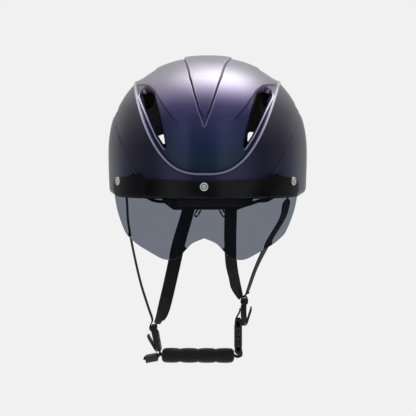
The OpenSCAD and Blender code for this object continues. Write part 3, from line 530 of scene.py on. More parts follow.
def relief(x, y, z):
    """Height of the relief over the plain dome, the mask of its panel, a mask of painted highlights on its
    crests and painted shade in the grooves beside them, and the nearest edge.
    """
    spine_rise, ridge_rise, lip_rise, wing_rise = 2.0, 1.6, 0.7, 1.0
    groove_depth, trough_depth, step_depth = 1.2, 1.2, 1.3
    ax = np.abs(x)
    half = np.interp(y, SPINE_LINE[:, 1], SPINE_LINE[:, 0])
    d_spine = signed_distance((ax < half) & (y > SPINE_LINE[0, 1]),
                              space_distance(np.stack([ax, y, z], axis=1), SPINE_LINE))
    up = smoothstep(45, 51, z)
    h = spine_rise * (1 - smoothstep(-1.0, 0.0, d_spine)) * up * smoothstep(0.0, 4.0, half + 1.5)
    h -= groove_depth * band(d_spine, 0.75, 0.62, 4) * up
    front = y < CROWN_Y
    low = np.where(front, RIDGE_LOW, RIDGE_LOW_REAR)
    panel = (z > ridge_height(low, np.minimum(ax, 90))) & (ax < RIDGE_END)
    ridges = (polyline_distance(ax, z, ridge_line(lowest)) for lowest in (RIDGE_LOW, RIDGE_LOW_REAR))
    d_ridge = signed_distance(panel, np.where(front, *ridges))
    h += ridge_rise * (1 - smoothstep(0.7, 1.7, np.abs(d_ridge)))
    # the vents lie in a shallow trough between a crease and the ridge
    above = inside_polygon(ax, z, [(-5, 68)] + CREASE[::-1] + [(77, 200), (-5, 200)])
    d_crease = signed_distance(above, polyline_distance(ax, z, CREASE))
    here = smoothstep(-8, -30, y) * smoothstep(16, 44, ax)
    trough = smoothstep(-0.4, 1.8, d_crease) * (1 - smoothstep(-4.0, -1.4, d_ridge)) * here
    h -= trough_depth * trough
    # long shallow step along the crown, outside the centre panel
    step = smoothstep(54.0, 57.0, ax) * (1 - smoothstep(-9, -2, d_ridge)) * smoothstep(100, 118, z)
    step *= smoothstep(-62, -30, y)
    h -= step_depth * step * (1 - trough)
    # raised lip round the outer side of each front vent
    d_vent = np.where(y < -30, chain_distance(ax, z, FRONT_VENT), 99.0)
    outer = smoothstep(-1.5, 2.5, ax - np.interp(z, VENT_Z, VENT_X)) * smoothstep(112, 100, z)
    h += lip_rise * (band(d_vent, 1.3, 0.75) * outer)
    # raised wing on each side
    wing = signed_distance(inside_polygon(y, z, WING), polyline_distance(y, z, WING + WING[:1]))
    d_wing = np.where(ax > 30, wing, 9.0)
    h += wing_rise * (1 - smoothstep(-1.4, 0.1, d_wing)) * smoothstep(1.0, 6.0, z)
    # painted highlights on the crests of the ridge, spine, vent lips and wings, and painted shade in the
    # grooves, creases and trough beside them
    edge = np.max([band(d_ridge, -0.1, 1.0, 4), 0.9 * band(d_spine, -0.75, 0.55) * up,
                   0.35 * band(d_spine, 1.9, 0.45) * up, band(d_vent, 1.2, 0.6) * outer,
                   0.15 * band(d_wing, -0.5, 0.7)], axis=0)
    vent_trough_shade = outer * smoothstep(4.5, 2.8, d_vent) * smoothstep(1.6, 2.3, d_vent)
    dark = np.max([band(d_ridge, -2.5, 1.2) * smoothstep(0, 12, ax) * (z < 118), vent_trough_shade,
                   0.9 * band(d_crease, 0.4, 0.8) * here * panel, 0.35 * trough,
                   band(d_spine, 0.75, 0.6) * up, 0.6 * band(d_wing, 0.4, 0.6)], axis=0)
    # edge above 0 is painted highlight, below 0 painted shade
    edge = edge - np.where(edge > 0.3, 0, dark)
    near = np.min([np.abs(d_ridge), np.where(z > 44, np.abs(d_spine), 9.0),
                   np.where(here * panel > 0.2, np.abs(d_crease), 9.0), np.abs(d_wing) + 0.6], axis=0)
    return h, smoothstep(1.0, -1.0, d_ridge), edge, near


def vent_distances(x, y, z):
    """Signed distance from the outline of every kind of vent, on the side of the shell that it opens."""
    ax = np.abs(x)
    found = {"front": np.where(y < -30, chain_distance(ax, z, FRONT_VENT), 1e9),
             "rear": np.where(y > 40, rear_distance(ax, z), 1e9)}
    for i, chain in enumerate(SIDE_VENTS):
        found["side%d" % i] = np.where(ax > 60, chain_distance(y, z, chain), 1e9)
    return found


def rear_distance(x, z):
    """Signed distance from the rear vent, a rounded four-sided hole."""
    border = chain_distance(x, z, REAR_VENT + REAR_VENT[:1])
    core = inside_polygon(x, z, [corner[:2] for corner in REAR_VENT])
    return np.where(core, -np.abs(border) - 3.0, border)


def refined_grid(columns, heights, distance, near):
    """Flat grid of plan angle against place on the profile, made finer wherever distance() is small."""
    bm = bmesh.new()
    angles = np.linspace(0, 2 * math.pi, columns + 1)
    rows = [[bm.verts.new((a, v, 0)) for a in angles] for v in heights]
    for low, high in zip(rows[:-1], rows[1:]):
        for j in range(columns):
            bm.faces.new((low[j], low[j + 1], high[j + 1], high[j]))
    for reach in near:
        bm.verts.ensure_lookup_table()
        flat = np.array([v.co[:2] for v in bm.verts])
        close = distance(flat[:, 0], flat[:, 1]) < reach
        bm.verts.index_update()
        edges = set()
        for f in bm.faces:
            if any(close[v.index] for v in f.verts):
                edges.update(f.edges)
        bmesh.ops.subdivide_edges(bm, edges=list(edges), cuts=1, use_grid_fill=True)
    bm.verts.index_update()
    flat = np.array([v.co[:2] for v in bm.verts])
    faces = [[v.index for v in f.verts] for f in bm.faces]
    bm.free()
    return flat[:, 0], flat[:, 1], faces


def welded(points, faces):
    """Joins points that lie together. Gives the first point of each group, and the faces on the groups."""
    reach = 0.004
    key = np.round(points / reach).astype(np.int64)
    _, first, back = np.unique(key, axis=0, return_index=True, return_inverse=True)
    back = back.ravel()
    clean = []
    for f in faces:
        g = [back[q] for q in f]
        g = [q for i, q in enumerate(g) if q != g[i - 1]]
        if len(g) > 2:
            clean.append(g)
    return first, clean


def open_edges(faces):
    """Edges with a face on one side only."""
    edges = dict.fromkeys((f[i - 1], q) for f in faces for i, q in enumerate(f))
    return [(p, q) for p, q in edges if (q, p) not in edges]


def vent_gradient(points, across, kind):
    """Signed distance from the outline of one kind of vent, and how it grows square to across."""
    step = 0.04
    d = vent_distances(*points.T)[kind]
    g = np.stack([vent_distances(*(points + step * axis).T)[kind] - d for axis in np.eye(3)], axis=1) / step
    return d, g - across * np.sum(g * across, axis=1, keepdims=True)


# The way into each kind of vent where x is positive, and how far each ring of its wall lies inward and
# narrows the hole
VENT_WAY = {"front": (0.0, 1.0, 0.0), "rear": (0.0, -1.0, 0.0), "side0": (-1.0, 0.0, 0.0),
            "side1": (-1.0, 0.0, 0.0)}
VENT_RINGS = ((0.35, 0.16), (0.9, 0.4), (1.8, 0.7), (5.0, 1.1), (11.0, 1.5))


def vent_walls(points, normal, on_edge, panel, edge):
    """Moves the shell's open edges onto the vents' outlines and adds the points of the walls behind them."""
    kind_of, rings = {}, {}
    for kind, d in vent_distances(*points[on_edge].T).items():
        for q in on_edge[np.abs(d) < 3.0]:
            kind_of.setdefault(q, kind)
    points = list(points)
    for kind, way in VENT_WAY.items():
        ids = [q for q in on_edge if kind_of.get(q) == kind]
        p = np.array([points[q] for q in ids])
        for _ in range(5):
            d, g = vent_gradient(p, normal[ids], kind)
            p = p - g * (d / np.maximum(np.sum(g * g, axis=1), 1e-3))[:, None]
        inward = np.tile(way, (len(p), 1))
        inward[:, 0] *= np.sign(p[:, 0])
        _, g = vent_gradient(p, inward, kind)
        g /= np.maximum(np.linalg.norm(g, axis=1, keepdims=True), 1e-6)
        for i, q in enumerate(ids):
            points[q] = p[i]
            rings[q] = [q]
            scoop = 4.5 * smoothstep(-0.1, 0.9, g[i][2]) if kind == "front" else 0.0
            for depth, narrow in VENT_RINGS:
                rings[q].append(len(points))
                low = np.array([0, 0, scoop * min(1, depth / 9) ** 0.7])
                points.append(p[i] + inward[i] * depth - g[i] * narrow - low)
                panel.append(panel[q])
                edge.append(0.0)
    return points, rings


def make_shell():
    profile, run = shell_profile()
    top = run[-1]

    def dome(a, v):
        z, inset, share = (np.interp(v, run, column) for column in profile.T)
        x, y = oval(a, HALF_W - inset, HALF_L - inset)
        return np.stack([x * share, y * share, z], axis=1)

    def nearest(a, v):
        at = dome(a, v).T
        parts = [relief(*at)[3]] + [np.abs(d) for d in vent_distances(*at).values()]
        return np.where(v < run[8], 9.0, np.min(parts, axis=0))

    heights = np.unique(np.concatenate([run[:18], np.arange(run[17], top, 2.3), [top]]))
    heights = heights[np.append(True, np.diff(heights) > 0.05)]
    a, v, faces = refined_grid(360, heights, nearest, (4.2, 2.2))
    base = dome(a, v)
    aside, up = 0.002, 0.2
    normal = np.cross(dome(a + aside, v) - dome(a - aside, v),
                      dome(a, np.minimum(v + up, top)) - dome(a, np.maximum(v - up, 0)))
    normal /= np.maximum(np.linalg.norm(normal, axis=1, keepdims=True), 1e-9)
    h, panel, edge, _ = relief(*base.T)
    points = base + normal * np.where(v <= run[4], 0, h)[:, None]
    # one mesh round the seam and over the pole, open at the vents
    first, faces = welded(points, faces)
    points, normal = points[first], normal[first]
    panel, edge = list(panel[first]), list(edge[first])
    middle = np.array([points[f].mean(axis=0) for f in faces])
    solid = np.min(list(vent_distances(*middle.T).values()), axis=0) >= 0
    faces = [f for f, stays in zip(faces, solid) if stays]
    rim = open_edges(faces)
    on_edge = np.array(sorted({q for pair in rim for q in pair}))
    points, rings = vent_walls(points, normal, on_edge, panel, edge)
    for p, q in rim:
        if p in rings and q in rings:
            for s in range(len(VENT_RINGS)):
                faces.append([rings[q][s], rings[p][s], rings[p][s + 1], rings[q][s + 1]])
    pole = [q for q in on_edge if points[q][2] > SHELL_H - 8]
    pole.sort(key=lambda q: math.atan2(points[q][1], points[q][0]))
    if len(pole) > 2:
        faces.append(pole)
    used = np.unique(np.concatenate(faces))
    lookup = -np.ones(len(points), int)
    lookup[used] = np.arange(len(used))
    obj = add("shell_skin", np.array(points)[used] * MM, [lookup[f] for f in faces], PAINT, sharp=None)
    # the edge attribute holds the painted highlights and painted shade of crests and grooves
    for name, values in (("panel", panel), ("edge", edge)):
        layer = obj.data.attributes.new(name, "FLOAT", "POINT")
        layer.data.foreach_set("value", np.array(values, dtype=float)[used])
    wall = obj.modifiers.new("wall", "SOLIDIFY")
    wall.thickness = SKIN_T * MM
    wall.offset = -1
    apply(obj)
    place(shade_smooth(obj, 50), "helmet", "shell_paint", "outer_shell")


def bmesh_object(name, bm, material):
    mesh = bpy.data.meshes.new(name)
    bm.to_mesh(mesh)
    bm.free()
    mesh.materials.append(material)
    return new_object(name, mesh)


def finished(node, material, bevel):
    """A copy of a hard CAD piece with its moulded edges rounded."""
    bm = cad_mesh(node)
    bmesh.ops.dissolve_limit(bm, angle_limit=math.radians(0.6), verts=bm.verts, edges=bm.edges)
    obj = bmesh_object(node + "_piece", bm, material)
    if node in RESHAPE:
        RESHAPE[node](obj.data)
    if bevel:
        round_edges(obj, bevel, 32)
    place(shade_smooth(obj, 35), BODY_OF[node], SLOT_OF[node], node)


def fill_windows(mesh):
    """The release arms fill the buckle's windows across its thickness."""
    half, cad_half = 4.1, 2.8
    for v in mesh.vertices:
        v.co.x = BUCKLE_X * MM + (v.co.x - BUCKLE_X * MM) * half / cad_half


def sag(side, depth, span):
    """The head-band's arms hang a little lower between the rack and the side."""
    def reshape(mesh):
        for v in mesh.vertices:
            x = v.co.x * side / MM
            share = float(smoothstep(span[0], span[1], x) * (1 - smoothstep(span[2], span[3], x)))
            v.co.z -= depth * MM * share
    return reshape


RESHAPE = {"release_front": fill_windows, "release_rear": fill_windows,
           "headband_left": sag(-1, 4.8, (45, 54, 62, 80)), "headband_right": sag(1, 2.4, (56, 66, 72, 80))}
BODY_OF = {n: body for body, nodes in frame["record"]["behaviour"]["bodies"].items() for n in nodes}
SLOT_OF = {part["node"]: part["material_slot"] for part in frame["record"]["subparts"]}

# Webbing
WEB_W, WEB_T = 15.0, 1.3
STRAP_Y = -10.0
LEFT_BAR, RIGHT_BAR = np.array([-59.5, -145.0]), np.array([39.88, -116.0])
BAR_R, DIVIDER_L = 2.8, 23.5
LEFT_TILT, RIGHT_TILT = math.radians(10), math.radians(2.5)
FOOT_X = LEFT_BAR[0] + DIVIDER_L * math.sin(LEFT_TILT)
CHIN_X = (FOOT_X + 6, FOOT_X + 83.6)
CHIN_Z = LEFT_BAR[1] - DIVIDER_L * math.cos(LEFT_TILT) - 7.5
BUCKLE_X = CHIN_X[1] + 5
SOCKET_BAR = np.array([BUCKLE_X - 0.4, RIGHT_BAR[1] - DIVIDER_L + 1.3])
MOUTH_Z = SOCKET_BAR[1] - 19.3
PLUG_BAR = np.array([BUCKLE_X + 0.2, MOUTH_Z - 10.8])
LOOP_R = 1.6 + 0.3 + WEB_T / 2
ACROSS = (0, 1, 0)
FRONT_Y = -0.3 * HALF_L
FRONT_ANCHOR = ((oval_reach(FRONT_Y, CAVITY_W, CAVITY_L)
                 + oval_reach(FRONT_Y, HALF_W - RIM_IN, HALF_L - RIM_IN)) / 2, FRONT_Y)
REAR_ANCHOR = (25.0, (CAVITY_L + HALF_L) / 2 - 10.5)


def web_section():
    """Half thicknesses across the webbing: thin selvedge ribs beside a flat middle."""
    across = [-1.0, -0.985, -0.94, -0.88, -0.82, -0.5, 0.0, 0.5, 0.82, 0.88, 0.94, 0.985, 1.0]
    thick = [0.25, 0.72, 1.0, 0.98, 0.84, 0.88, 0.9, 0.88, 0.84, 0.98, 1.0, 0.72, 0.25]
    top = [(s * WEB_W / 2, t * WEB_T / 2) for s, t in zip(across, thick)]
    return top + [(s, -t) for s, t in reversed(top)]


def sweep(name, points, wides, body, *nodes):
    """Webbing along points, whose width lies along wides."""
    p, w = np.array(points, dtype=float), np.array(wides, dtype=float)
    d = np.gradient(p, axis=0)
    thick = np.cross(d, w)
    side = np.cross(thick, d)
    side /= np.linalg.norm(side, axis=1, keepdims=True)
    thick /= np.linalg.norm(thick, axis=1, keepdims=True)
    section = web_section()
    run = np.concatenate([[0], np.cumsum(np.linalg.norm(np.diff(p, axis=0), axis=1))])
    verts, uv = [], []
    for i, at in enumerate(p):
        for s, t in section:
            verts.append((at + side[i] * s + thick[i] * t) * MM)
            uv.append((s * MM, run[i] * MM))
    obj = add(name, verts, tube_faces(len(p), len(section)), WEB, uv=uv)
    place(face_outward(obj), body, "webbing_black", *nodes)


def strap(node, x, y, wide, lean, middle, bar, side, above, end_wide=ACROSS, turned=None,
          near=(1.15, 3.6, ACROSS)):
    """Strap from its slot in the rim to a divider's bar, which it wraps."""
    stations = [((x, y, 5.5), wide), ((x, y, -1.5), wide), ((x + lean[0], y + lean[1], -8), turned or wide)]
    stations += middle
    top = bar[1] + BAR_R
    stations += [((bar[0] + above, STRAP_Y, top + 8), end_wide),
                 ((bar[0] + side * near[0], STRAP_Y, top + near[1]), near[2]),
                 ((bar[0] + side * 2.5, STRAP_Y, top + 1.0), ACROSS)]
    r = BAR_R + 0.12 + WEB_T / 2
    arc = [(bar[0] + side * r * math.cos(a), STRAP_Y, bar[1] + r * math.sin(a))
           for a in np.radians(np.arange(25, -96, -12))]
    points, wides = (catmull([s[part] for s in stations], 12) for part in (0, 1))
    sweep(node + "_web", np.vstack([points, arc]), np.vstack([wides, [ACROSS] * len(arc)]), "helmet", node)


def plane_webbing(name, path, body, *nodes):
    """Webbing that stays in one upright plane, along points of [x, z]."""
    points = [(x, STRAP_Y, z) for x, z in path]
    sweep(name, points, [ACROSS] * len(points), body, *nodes)


def turned_by(tilt, x, z):
    """A step [x, z] in the front view, turned by tilt."""
    c, s = math.cos(tilt), math.sin(tilt)
    return np.array([x * c - z * s, x * s + z * c])


def left_at(x, z):
    """Place on the left divider, from its middle line outward and from its foot up."""
    return LEFT_BAR + turned_by(LEFT_TILT, x, z - DIVIDER_L)


def right_at(x, z):
    return RIGHT_BAR + turned_by(RIGHT_TILT, -x, z - DIVIDER_L)


def arc_points(centre, r, start, end, n):
    a = np.radians(np.linspace(start, end, n + 1))
    return list(centre + r * np.stack([np.cos(a), np.sin(a)], axis=1))


def make_straps():
    """The four straps, from the rim down to the dividers."""
    fx, fy = FRONT_ANCHOR
    rx, ry = REAR_ANCHOR
    strap("front_strap_left", -fx, fy, ACROSS, (0.5, 1),
          [((-84.5, -36, -30), ACROSS), ((-79.3, -29, -62), ACROSS), ((-72.4, -22, -95), ACROSS),
           ((-64.9, -13, -122), ACROSS)], LEFT_BAR, -1, -1.5)
    strap("front_strap_right", fx, fy, ACROSS, (-1.4, 1),
          [((80.8, -36, -24), (0.42, 0.91, 0)), ((66.0, -29, -50), (0.38, 0.92, 0)),
           ((52.4, -19, -79), (0.25, 0.97, 0))],
          RIGHT_BAR, 1, 3.6, (0.18, 0.98, 0), (0.5, 0.87, 0))
    strap("rear_strap_left", -rx, ry, (1, 0, 0), (-0.2, -0.7),
          [((-26.2, ry - 5.5, -23), (1, -0.1, 0)), ((-35.2, 70.5, -58), (0.98, 0.2, 0)),
           ((-40.5, 43, -86), (0.84, 0.54, 0)), ((-45.0, 19, -109), (0.76, 0.65, 0)),
           ((-48.8, -1.5, -126), (0.66, 0.75, 0))],
          LEFT_BAR, 1, 7.2, (0.56, 0.83, 0), near=(4.6, 2.0, (0.45, 0.89, 0)))
    strap("rear_strap_right", rx, ry, (1, 0, 0), (-0.2, -0.7),
          [((23.8, ry - 5.5, -23), (0.9, 0.43, 0)), ((23.6, 64, -56), (0.78, 0.62, 0)),
           ((25.4, 33, -80), (0.72, 0.69, 0)), ((29.0, 9, -95), (0.56, 0.83, 0))],
          RIGHT_BAR, -1, -8.0, (0.52, 0.85, 0), near=(4.2, 3.2, (0.42, 0.9, 0)))


def make_chin_webbing():
    """Webbing below the dividers: down to the buckle, through the chin pad, and its loose tail."""
    # how far the webbing's near face lies from each divider's middle line
    right_off, left_off = 4.8, 1.8
    back = right_off + WEB_T / 2
    path = list(catmull([right_at(back, 15), right_at(back, 12.5), SOCKET_BAR + (-0.4, 6),
                         SOCKET_BAR + (-2.3, 2.4)], 5))
    path += arc_points(SOCKET_BAR, LOOP_R, 168, 385, 20) + [SOCKET_BAR + (1.8, 3.6)]
    plane_webbing("buckle_webbing_web", path, "helmet", "buckle_webbing")
    foot = left_off + WEB_T / 2
    start, end = CHIN_X
    path = [left_at(foot, 9), left_at(foot, 4.5), left_at(foot, 0)]
    path += list(catmull([left_at(foot, -2.6), (start - 2.8, CHIN_Z + 2.4), (start - 1.2, CHIN_Z + 0.5),
                          (start + 0.9, CHIN_Z)], 6))
    path += [(x, CHIN_Z) for x in np.linspace(start + 6, end - 6, 9)]
    path += list(catmull([(end + 0.8, CHIN_Z), (end + 4.5, CHIN_Z - 1.2), PLUG_BAR + (3.8, -6.6),
                          PLUG_BAR + (3.5, -3)], 6))
    path += arc_points(PLUG_BAR, LOOP_R, 0, 190, 16) + [PLUG_BAR + (-3, -2.8)]
    plane_webbing("chin_webbing_web", path, "chin", "chin_webbing")
    # the tail is folded double, round its end
    length, fold = -16.6, 0.66
    path = [(x, fold) for x in np.linspace(0, length, 12)]
    path += [(length - 0.62 * math.sin(a), 0.64 * math.cos(a)) for a in np.linspace(0.4, math.pi - 0.4, 6)]
    path += [(x, -fold) for x in np.linspace(length, 0, 12)]
    corner = np.array([start - 3.2, CHIN_Z + 0.1])
    path = [corner + turned_by(math.radians(11), *at) for at in path]
    plane_webbing("strap_tail_web", path, "chin", "strap_tail")


# Buckle and cradle
def upright_plate(name, outline, y0, y1, body, slot):
    """Plate of the buckle's plastic whose outline lies in the front view, as points of [x, z]."""
    n = len(outline)
    verts = [(x * MM, y * MM, z * MM) for y in (y0, y1) for x, z in outline]
    faces = [list(range(n)), list(range(n, 2 * n))[::-1]]
    faces += [[j, n + j, n + (j + 1) % n, (j + 1) % n] for j in range(n)]
    obj = face_outward(add(name, verts, faces, BUCKLE, sharp=None))
    place(shade_smooth(round_edges(obj, 0.5, 40), 35), body, slot)


def make_cheeks():
    """Side cheeks that join each half of the buckle to the bar which its webbing wraps."""
    outer = (WEB_W + 11) / 2
    x, z = SOCKET_BAR
    top, end = z + 2.9, MOUTH_Z + 14.3
    socket = [(BUCKLE_X - 3.9, end - 0.6), (BUCKLE_X - 4.0, end + 2.6), (x - 2.9, top - 1.6), (x - 1.6, top),
              (x + 1.7, top), (x + 3.2, top - 1.4), (BUCKLE_X + 4.0, end + 2.4), (BUCKLE_X + 3.9, end - 0.6)]
    x, z = PLUG_BAR
    end = MOUTH_Z - 7.2
    plug = [(BUCKLE_X - 3.9, end + 0.5), (BUCKLE_X + 3.9, end + 0.5), (BUCKLE_X + 4.1, z - 1.0),
            (x + 4.4, z - 4.6), (x + 4.0, z - 6.0), (x + 2.2, z - 6.4), (x - 2.2, z - 4.4),
            (BUCKLE_X - 3.8, z - 1.6)]
    for side, tag in ((-1, "front"), (1, "rear")):
        ends = sorted((STRAP_Y + side * (outer - 1.0), STRAP_Y + side * (outer - 4.2)))
        upright_plate("socket_cheek_" + tag, socket, *ends, "helmet", SLOT_OF["buckle_socket"])
        upright_plate("plug_cheek_" + tag, plug, *ends, "chin", SLOT_OF["buckle_plug"])


def yoke_plate():
    """Curved plate with sloped, rounded ends, which tuck in, and a rib along its inner face."""
    inner, outer, rows, rib_depth = 92.2, 94.5, 10, 0.5
    tuck_start, tuck_run, tuck_depth = 45.0, 8.0, 6.5
    left, right, low, high = -54.0, 49.5, -21.0, -3.0
    xs = np.concatenate([np.linspace(left, left + 16, 20), np.linspace(left + 18, right - 20, 24),
                         np.linspace(right - 18, right, 20)])
    slope = np.interp(xs, (left, left + 3, left + 9, left + 13, right - 18, right - 11, right - 3, right),
                      (10.5, 7.5, 2.2, 0, 0, 2.6, 6.5, 10.0))
    low = low + np.convolve(np.pad(slope, 2, mode="edge"), np.ones(5) / 5, mode="valid")
    end_r = 4.0
    from_end = np.minimum(np.minimum(xs - left, right - xs) / end_r, 1)
    high = high - end_r * (1 - np.sqrt(1 - (1 - from_end) ** 2))
    verts = []
    for r in (inner, outer):
        for k in range(rows):
            v = k / (rows - 1)
            rib = rib_depth * band(v, 0.5, 0.16) if r == inner else 0.0
            for x, a, b in zip(xs, low, high):
                tuck = tuck_depth * (max(abs(x) - tuck_start, 0.0) / tuck_run) ** 2
                y = math.sqrt((r - rib) ** 2 - x * x) - tuck
                verts.append((x * MM, y * MM, (a + (b - a) * v) * MM))
    return verts, sheet_faces(rows, len(xs))


def yoke_loop(side, wire_sides):
    """Tilted loop under the yoke: rings of points along its bent wire."""
    wire_r, turn = 1.2, math.radians(29) * side
    place_x, place_y, place_z = side * 13.9, 92.6, -23.5
    corners = np.array([(-1.75, 4.4), (-1.8, -4.6), (-0.9, -5.7), (0.9, -5.7), (1.8, -4.6), (1.75, 4.4)])
    path = [a + (b - a) * t for a, b in zip(corners[:-1], corners[1:]) for t in (0, 0.25, 0.5, 0.75)]
    verts = []
    for at in path + [corners[-1]]:
        step = turned_by(turn, *at)
        out = step / np.linalg.norm(step) * wire_r
        for j in range(wire_sides):
            a = 2 * math.pi * j / wire_sides
            x, z = step + out * math.cos(a) + (place_x, place_z)
            verts.append((x * MM, (place_y + wire_r * math.sin(a)) * MM, z * MM))
    return verts


def make_yoke():
    """Rear yoke of the cradle, with two loops under it."""
    wire_sides = 8
    verts, faces = yoke_plate()
    for side in (-1, 1):
        loop = yoke_loop(side, wire_sides)
        faces += tube_faces(len(loop) // wire_sides, wire_sides, len(verts))
        verts += loop
    obj = face_outward(add("nape_yoke_piece", verts, faces, CRADLE))
    place(obj, "helmet", SLOT_OF["nape_yoke"], "nape_yoke")


# Visor
def visor_sheet(name, w, l, t, low, high, material, slot, node, bevel):
    """Curved sheet between a low and a high outline, each given as heights at the same places x."""
    rows = 14
    xs = np.concatenate([-low[::-1, 0], low[1:, 0]])
    bottom, top = (np.concatenate([line[::-1, 1], line[1:, 1]]) for line in (low, high))
    verts = []
    for grow in (t, 0.0):
        for k in range(rows):
            for x, z0, z1 in zip(xs, bottom, top):
                y = -oval_reach(x, l + grow, w + grow)
                verts.append((x * MM, y * MM, (z0 + (z1 - z0) * k / (rows - 1)) * MM))
    obj = add(name, verts, sheet_faces(rows, len(xs)), material, sharp=None)
    place(shade_smooth(round_edges(obj, bevel, 50), 40), "visor", slot, node)


def make_visor():
    """The smoked lens, and the band that runs over it along the brow."""
    lens_w, lens_l, lens_t, drop, notch, lens_top = 108.1, 144.6, 2.0, 61.0, 39.0, 14.0
    band_w, band_l, band_t, band_end = 110.3, 146.8, 1.6, 96.3
    half = [(0.892, lens_top), (0.89, 2), (0.852, -0.256 * drop), (0.778, -0.556 * drop),
            (0.721, -0.666 * drop), (0.636, -0.775 * drop), (0.498, 6 - drop), (0.402, 1 - drop),
            (0.325, -drop), (0.24, 3 - drop), (0.175, -12 - notch), (0.108, -5 - notch), (0, -notch)]
    outline = catmull([(x * HALF_W, z) for x, z in half], 10)[::-1]
    outline[:, 0] = np.maximum.accumulate(outline[:, 0])
    outline = outline[np.append(True, np.diff(outline[:, 0]) > 0.02)]
    outline[0, 0] = 0.0
    level = outline.copy()
    level[:, 1] = lens_top
    outline[-1, 1] = min(outline[-1, 1], 12.5)
    visor_sheet("visor_lens_sheet", lens_w, lens_l, lens_t, outline, level, LENS, "lens_smoke", "visor_lens",
                0.45)
    xs = np.concatenate([np.linspace(0, 60, 41), np.linspace(61, band_end, 72)])
    top = catmull([(0, 18), (30, 18.5), (58, 19.6), (66, 20.9), (69.6, 23.4), (72.4, 26.9), (74.5, 25.6),
                   (80, 23), (86, 21.7), (92, 20.3), (95.2, 17.6), (band_end, 13.4)], 10)
    bottom = np.array([(0, 2), (92.4, 2), (94.8, 3.2), (band_end, 6.4)])
    low, high = (np.stack([xs, np.interp(xs, *line.T)], axis=1) for line in (bottom, top))
    visor_sheet("visor_band_sheet", band_w, band_l, band_t, low, high, BAND, "brow_black", "visor_band", 0.5)


# Pads
def make_chin_pad():
    """Quilted pad round the chin webbing, whose closed ends narrow in steps."""
    lobes, per, sides = 4, 22, 40
    lobe_rise_y, lobe_rise_z, half_height = 1.2, 1.3, 8.0
    length = CHIN_X[1] - CHIN_X[0]
    rings = lobes * per
    wobble = np.random.default_rng(7).normal(0, 1, (rings + 1, 6))
    verts = []
    for i in range(rings + 1):
        u = i / rings
        swell = abs(math.sin(math.pi * lobes * u)) ** 0.42
        end = min(1.0, 0.84 + 0.16 * min(1.0, min(u, 1 - u) * 34) ** 0.6)
        half_y = (WEB_W / 2 + 2.1 + lobe_rise_y * swell) * (0.5 + end / 2)
        half_z = (half_height - lobe_rise_z + lobe_rise_z * swell) * end
        for j in range(sides):
            a = 2 * math.pi * j / sides
            ripple = 0.16 * math.sin(5 * a + 1.7 * i / per) * (1 - 0.8 * swell) + 0.05 * wobble[i][j % 6]
            scale = 1 + ripple / 9
            y = STRAP_Y + half_y * spow(math.cos(a), 0.86) * scale
            z = CHIN_Z + half_z * spow(math.sin(a), 0.86) * scale
            verts.append(((CHIN_X[0] + length * u) * MM, y * MM, z * MM))
    faces = tube_faces(rings + 1, sides, capped=False)
    centre = np.array([0, STRAP_Y, CHIN_Z]) * MM
    for base, sign in ((0, -1), (rings * sides, 1)):
        ring = np.array(verts[base:base + sides])
        last = list(range(base, base + sides))
        for share, out in ((0.82, 0.5), (0.55, 0.8)):
            new = list(range(len(verts), len(verts) + sides))
            verts += list(centre + (ring - centre) * (1, share, share) + (sign * out * MM, 0, 0))
            faces += zip(last, last[1:] + last[:1], new[1:] + new[:1], new)
            last = new
        faces.append(last)
    obj = face_outward(add("chin_pad_quilt", verts, faces, PAD_CLOTH_CHIN))
    place(obj, "chin", "chin_cloth", "chin_pad")


def island_meshes(node):
    """The separate solids of a CAD node, from left to right, as bmesh copies."""
    bm = cad_mesh(node)
    left = set(bm.verts)
    groups = []
    while left:
        stack, group = [left.pop()], []
        while stack:
            v = stack.pop()
            group.append(v)
            for e in v.link_edges:
                o = e.other_vert(v)
                if o in left:
                    left.discard(o)
                    stack.append(o)
        groups.append(group)
    groups.sort(key=lambda g: min(v.co.x for v in g))
    out = []
    for group in groups:
        keep = set(group)
        copy = bmesh.new()
        index = {v: copy.verts.new(v.co) for v in group}
        for f in bm.faces:
            if f.verts[0] in keep:
                copy.faces.new([index[v] for v in f.verts])
        out.append(copy)
    bm.free()
    return out


def coordinates(mesh):
    co = np.empty(len(mesh.vertices) * 3)
    mesh.vertices.foreach_get("co", co)
    return co.reshape(-1, 3)


def move_to(mesh, co):
    mesh.vertices.foreach_set("co", co.ravel())
    mesh.update()


def blow_up(obj, start):
    """Blows the pad up with a short cloth simulation, and caps how far it moves."""
    pressure, frames, cap = 4.0, 20, 0.8 * MM
    cloth = obj.modifiers.new("cloth", "CLOTH")
    cloth.settings.use_pressure = True
    cloth.settings.uniform_pressure_force = pressure
    cloth.settings.effector_weights.gravity = 0
    cloth.settings.quality = 5
    cloth.point_cache.frame_start = 1
    cloth.point_cache.frame_end = frames
    for f in range(1, frames + 1):
        scene.frame_set(f)
    apply(obj)
    scene.frame_set(1)
    move = coordinates(obj.data) - start
    moved = np.linalg.norm(move, axis=1, keepdims=True)
    move_to(obj.data, start + move * np.minimum(1, cap / np.maximum(moved, 1e-9)))


def make_pad(name, bm, body):
    shrink, voxel = 0.45, 1.7
    obj = bmesh_object(name, bm, PAD_CLOTH)
    remesh = obj.modifiers.new("voxels", "REMESH")
    remesh.mode = "VOXEL"
    remesh.voxel_size = voxel * MM
    apply(obj)
    start = coordinates(obj.data)
    normals = np.empty(start.size)
    obj.data.vertex_normals.foreach_get("vector", normals)
    start = start - normals.reshape(-1, 3) * shrink * MM
    move_to(obj.data, start)
    blow_up(obj, start)
    fine = obj.modifiers.new("fine", "SUBSURF")
    fine.levels = fine.render_levels = 1
    apply(obj)
    place(shade_smooth(obj), body, "pad_cloth")
    return obj


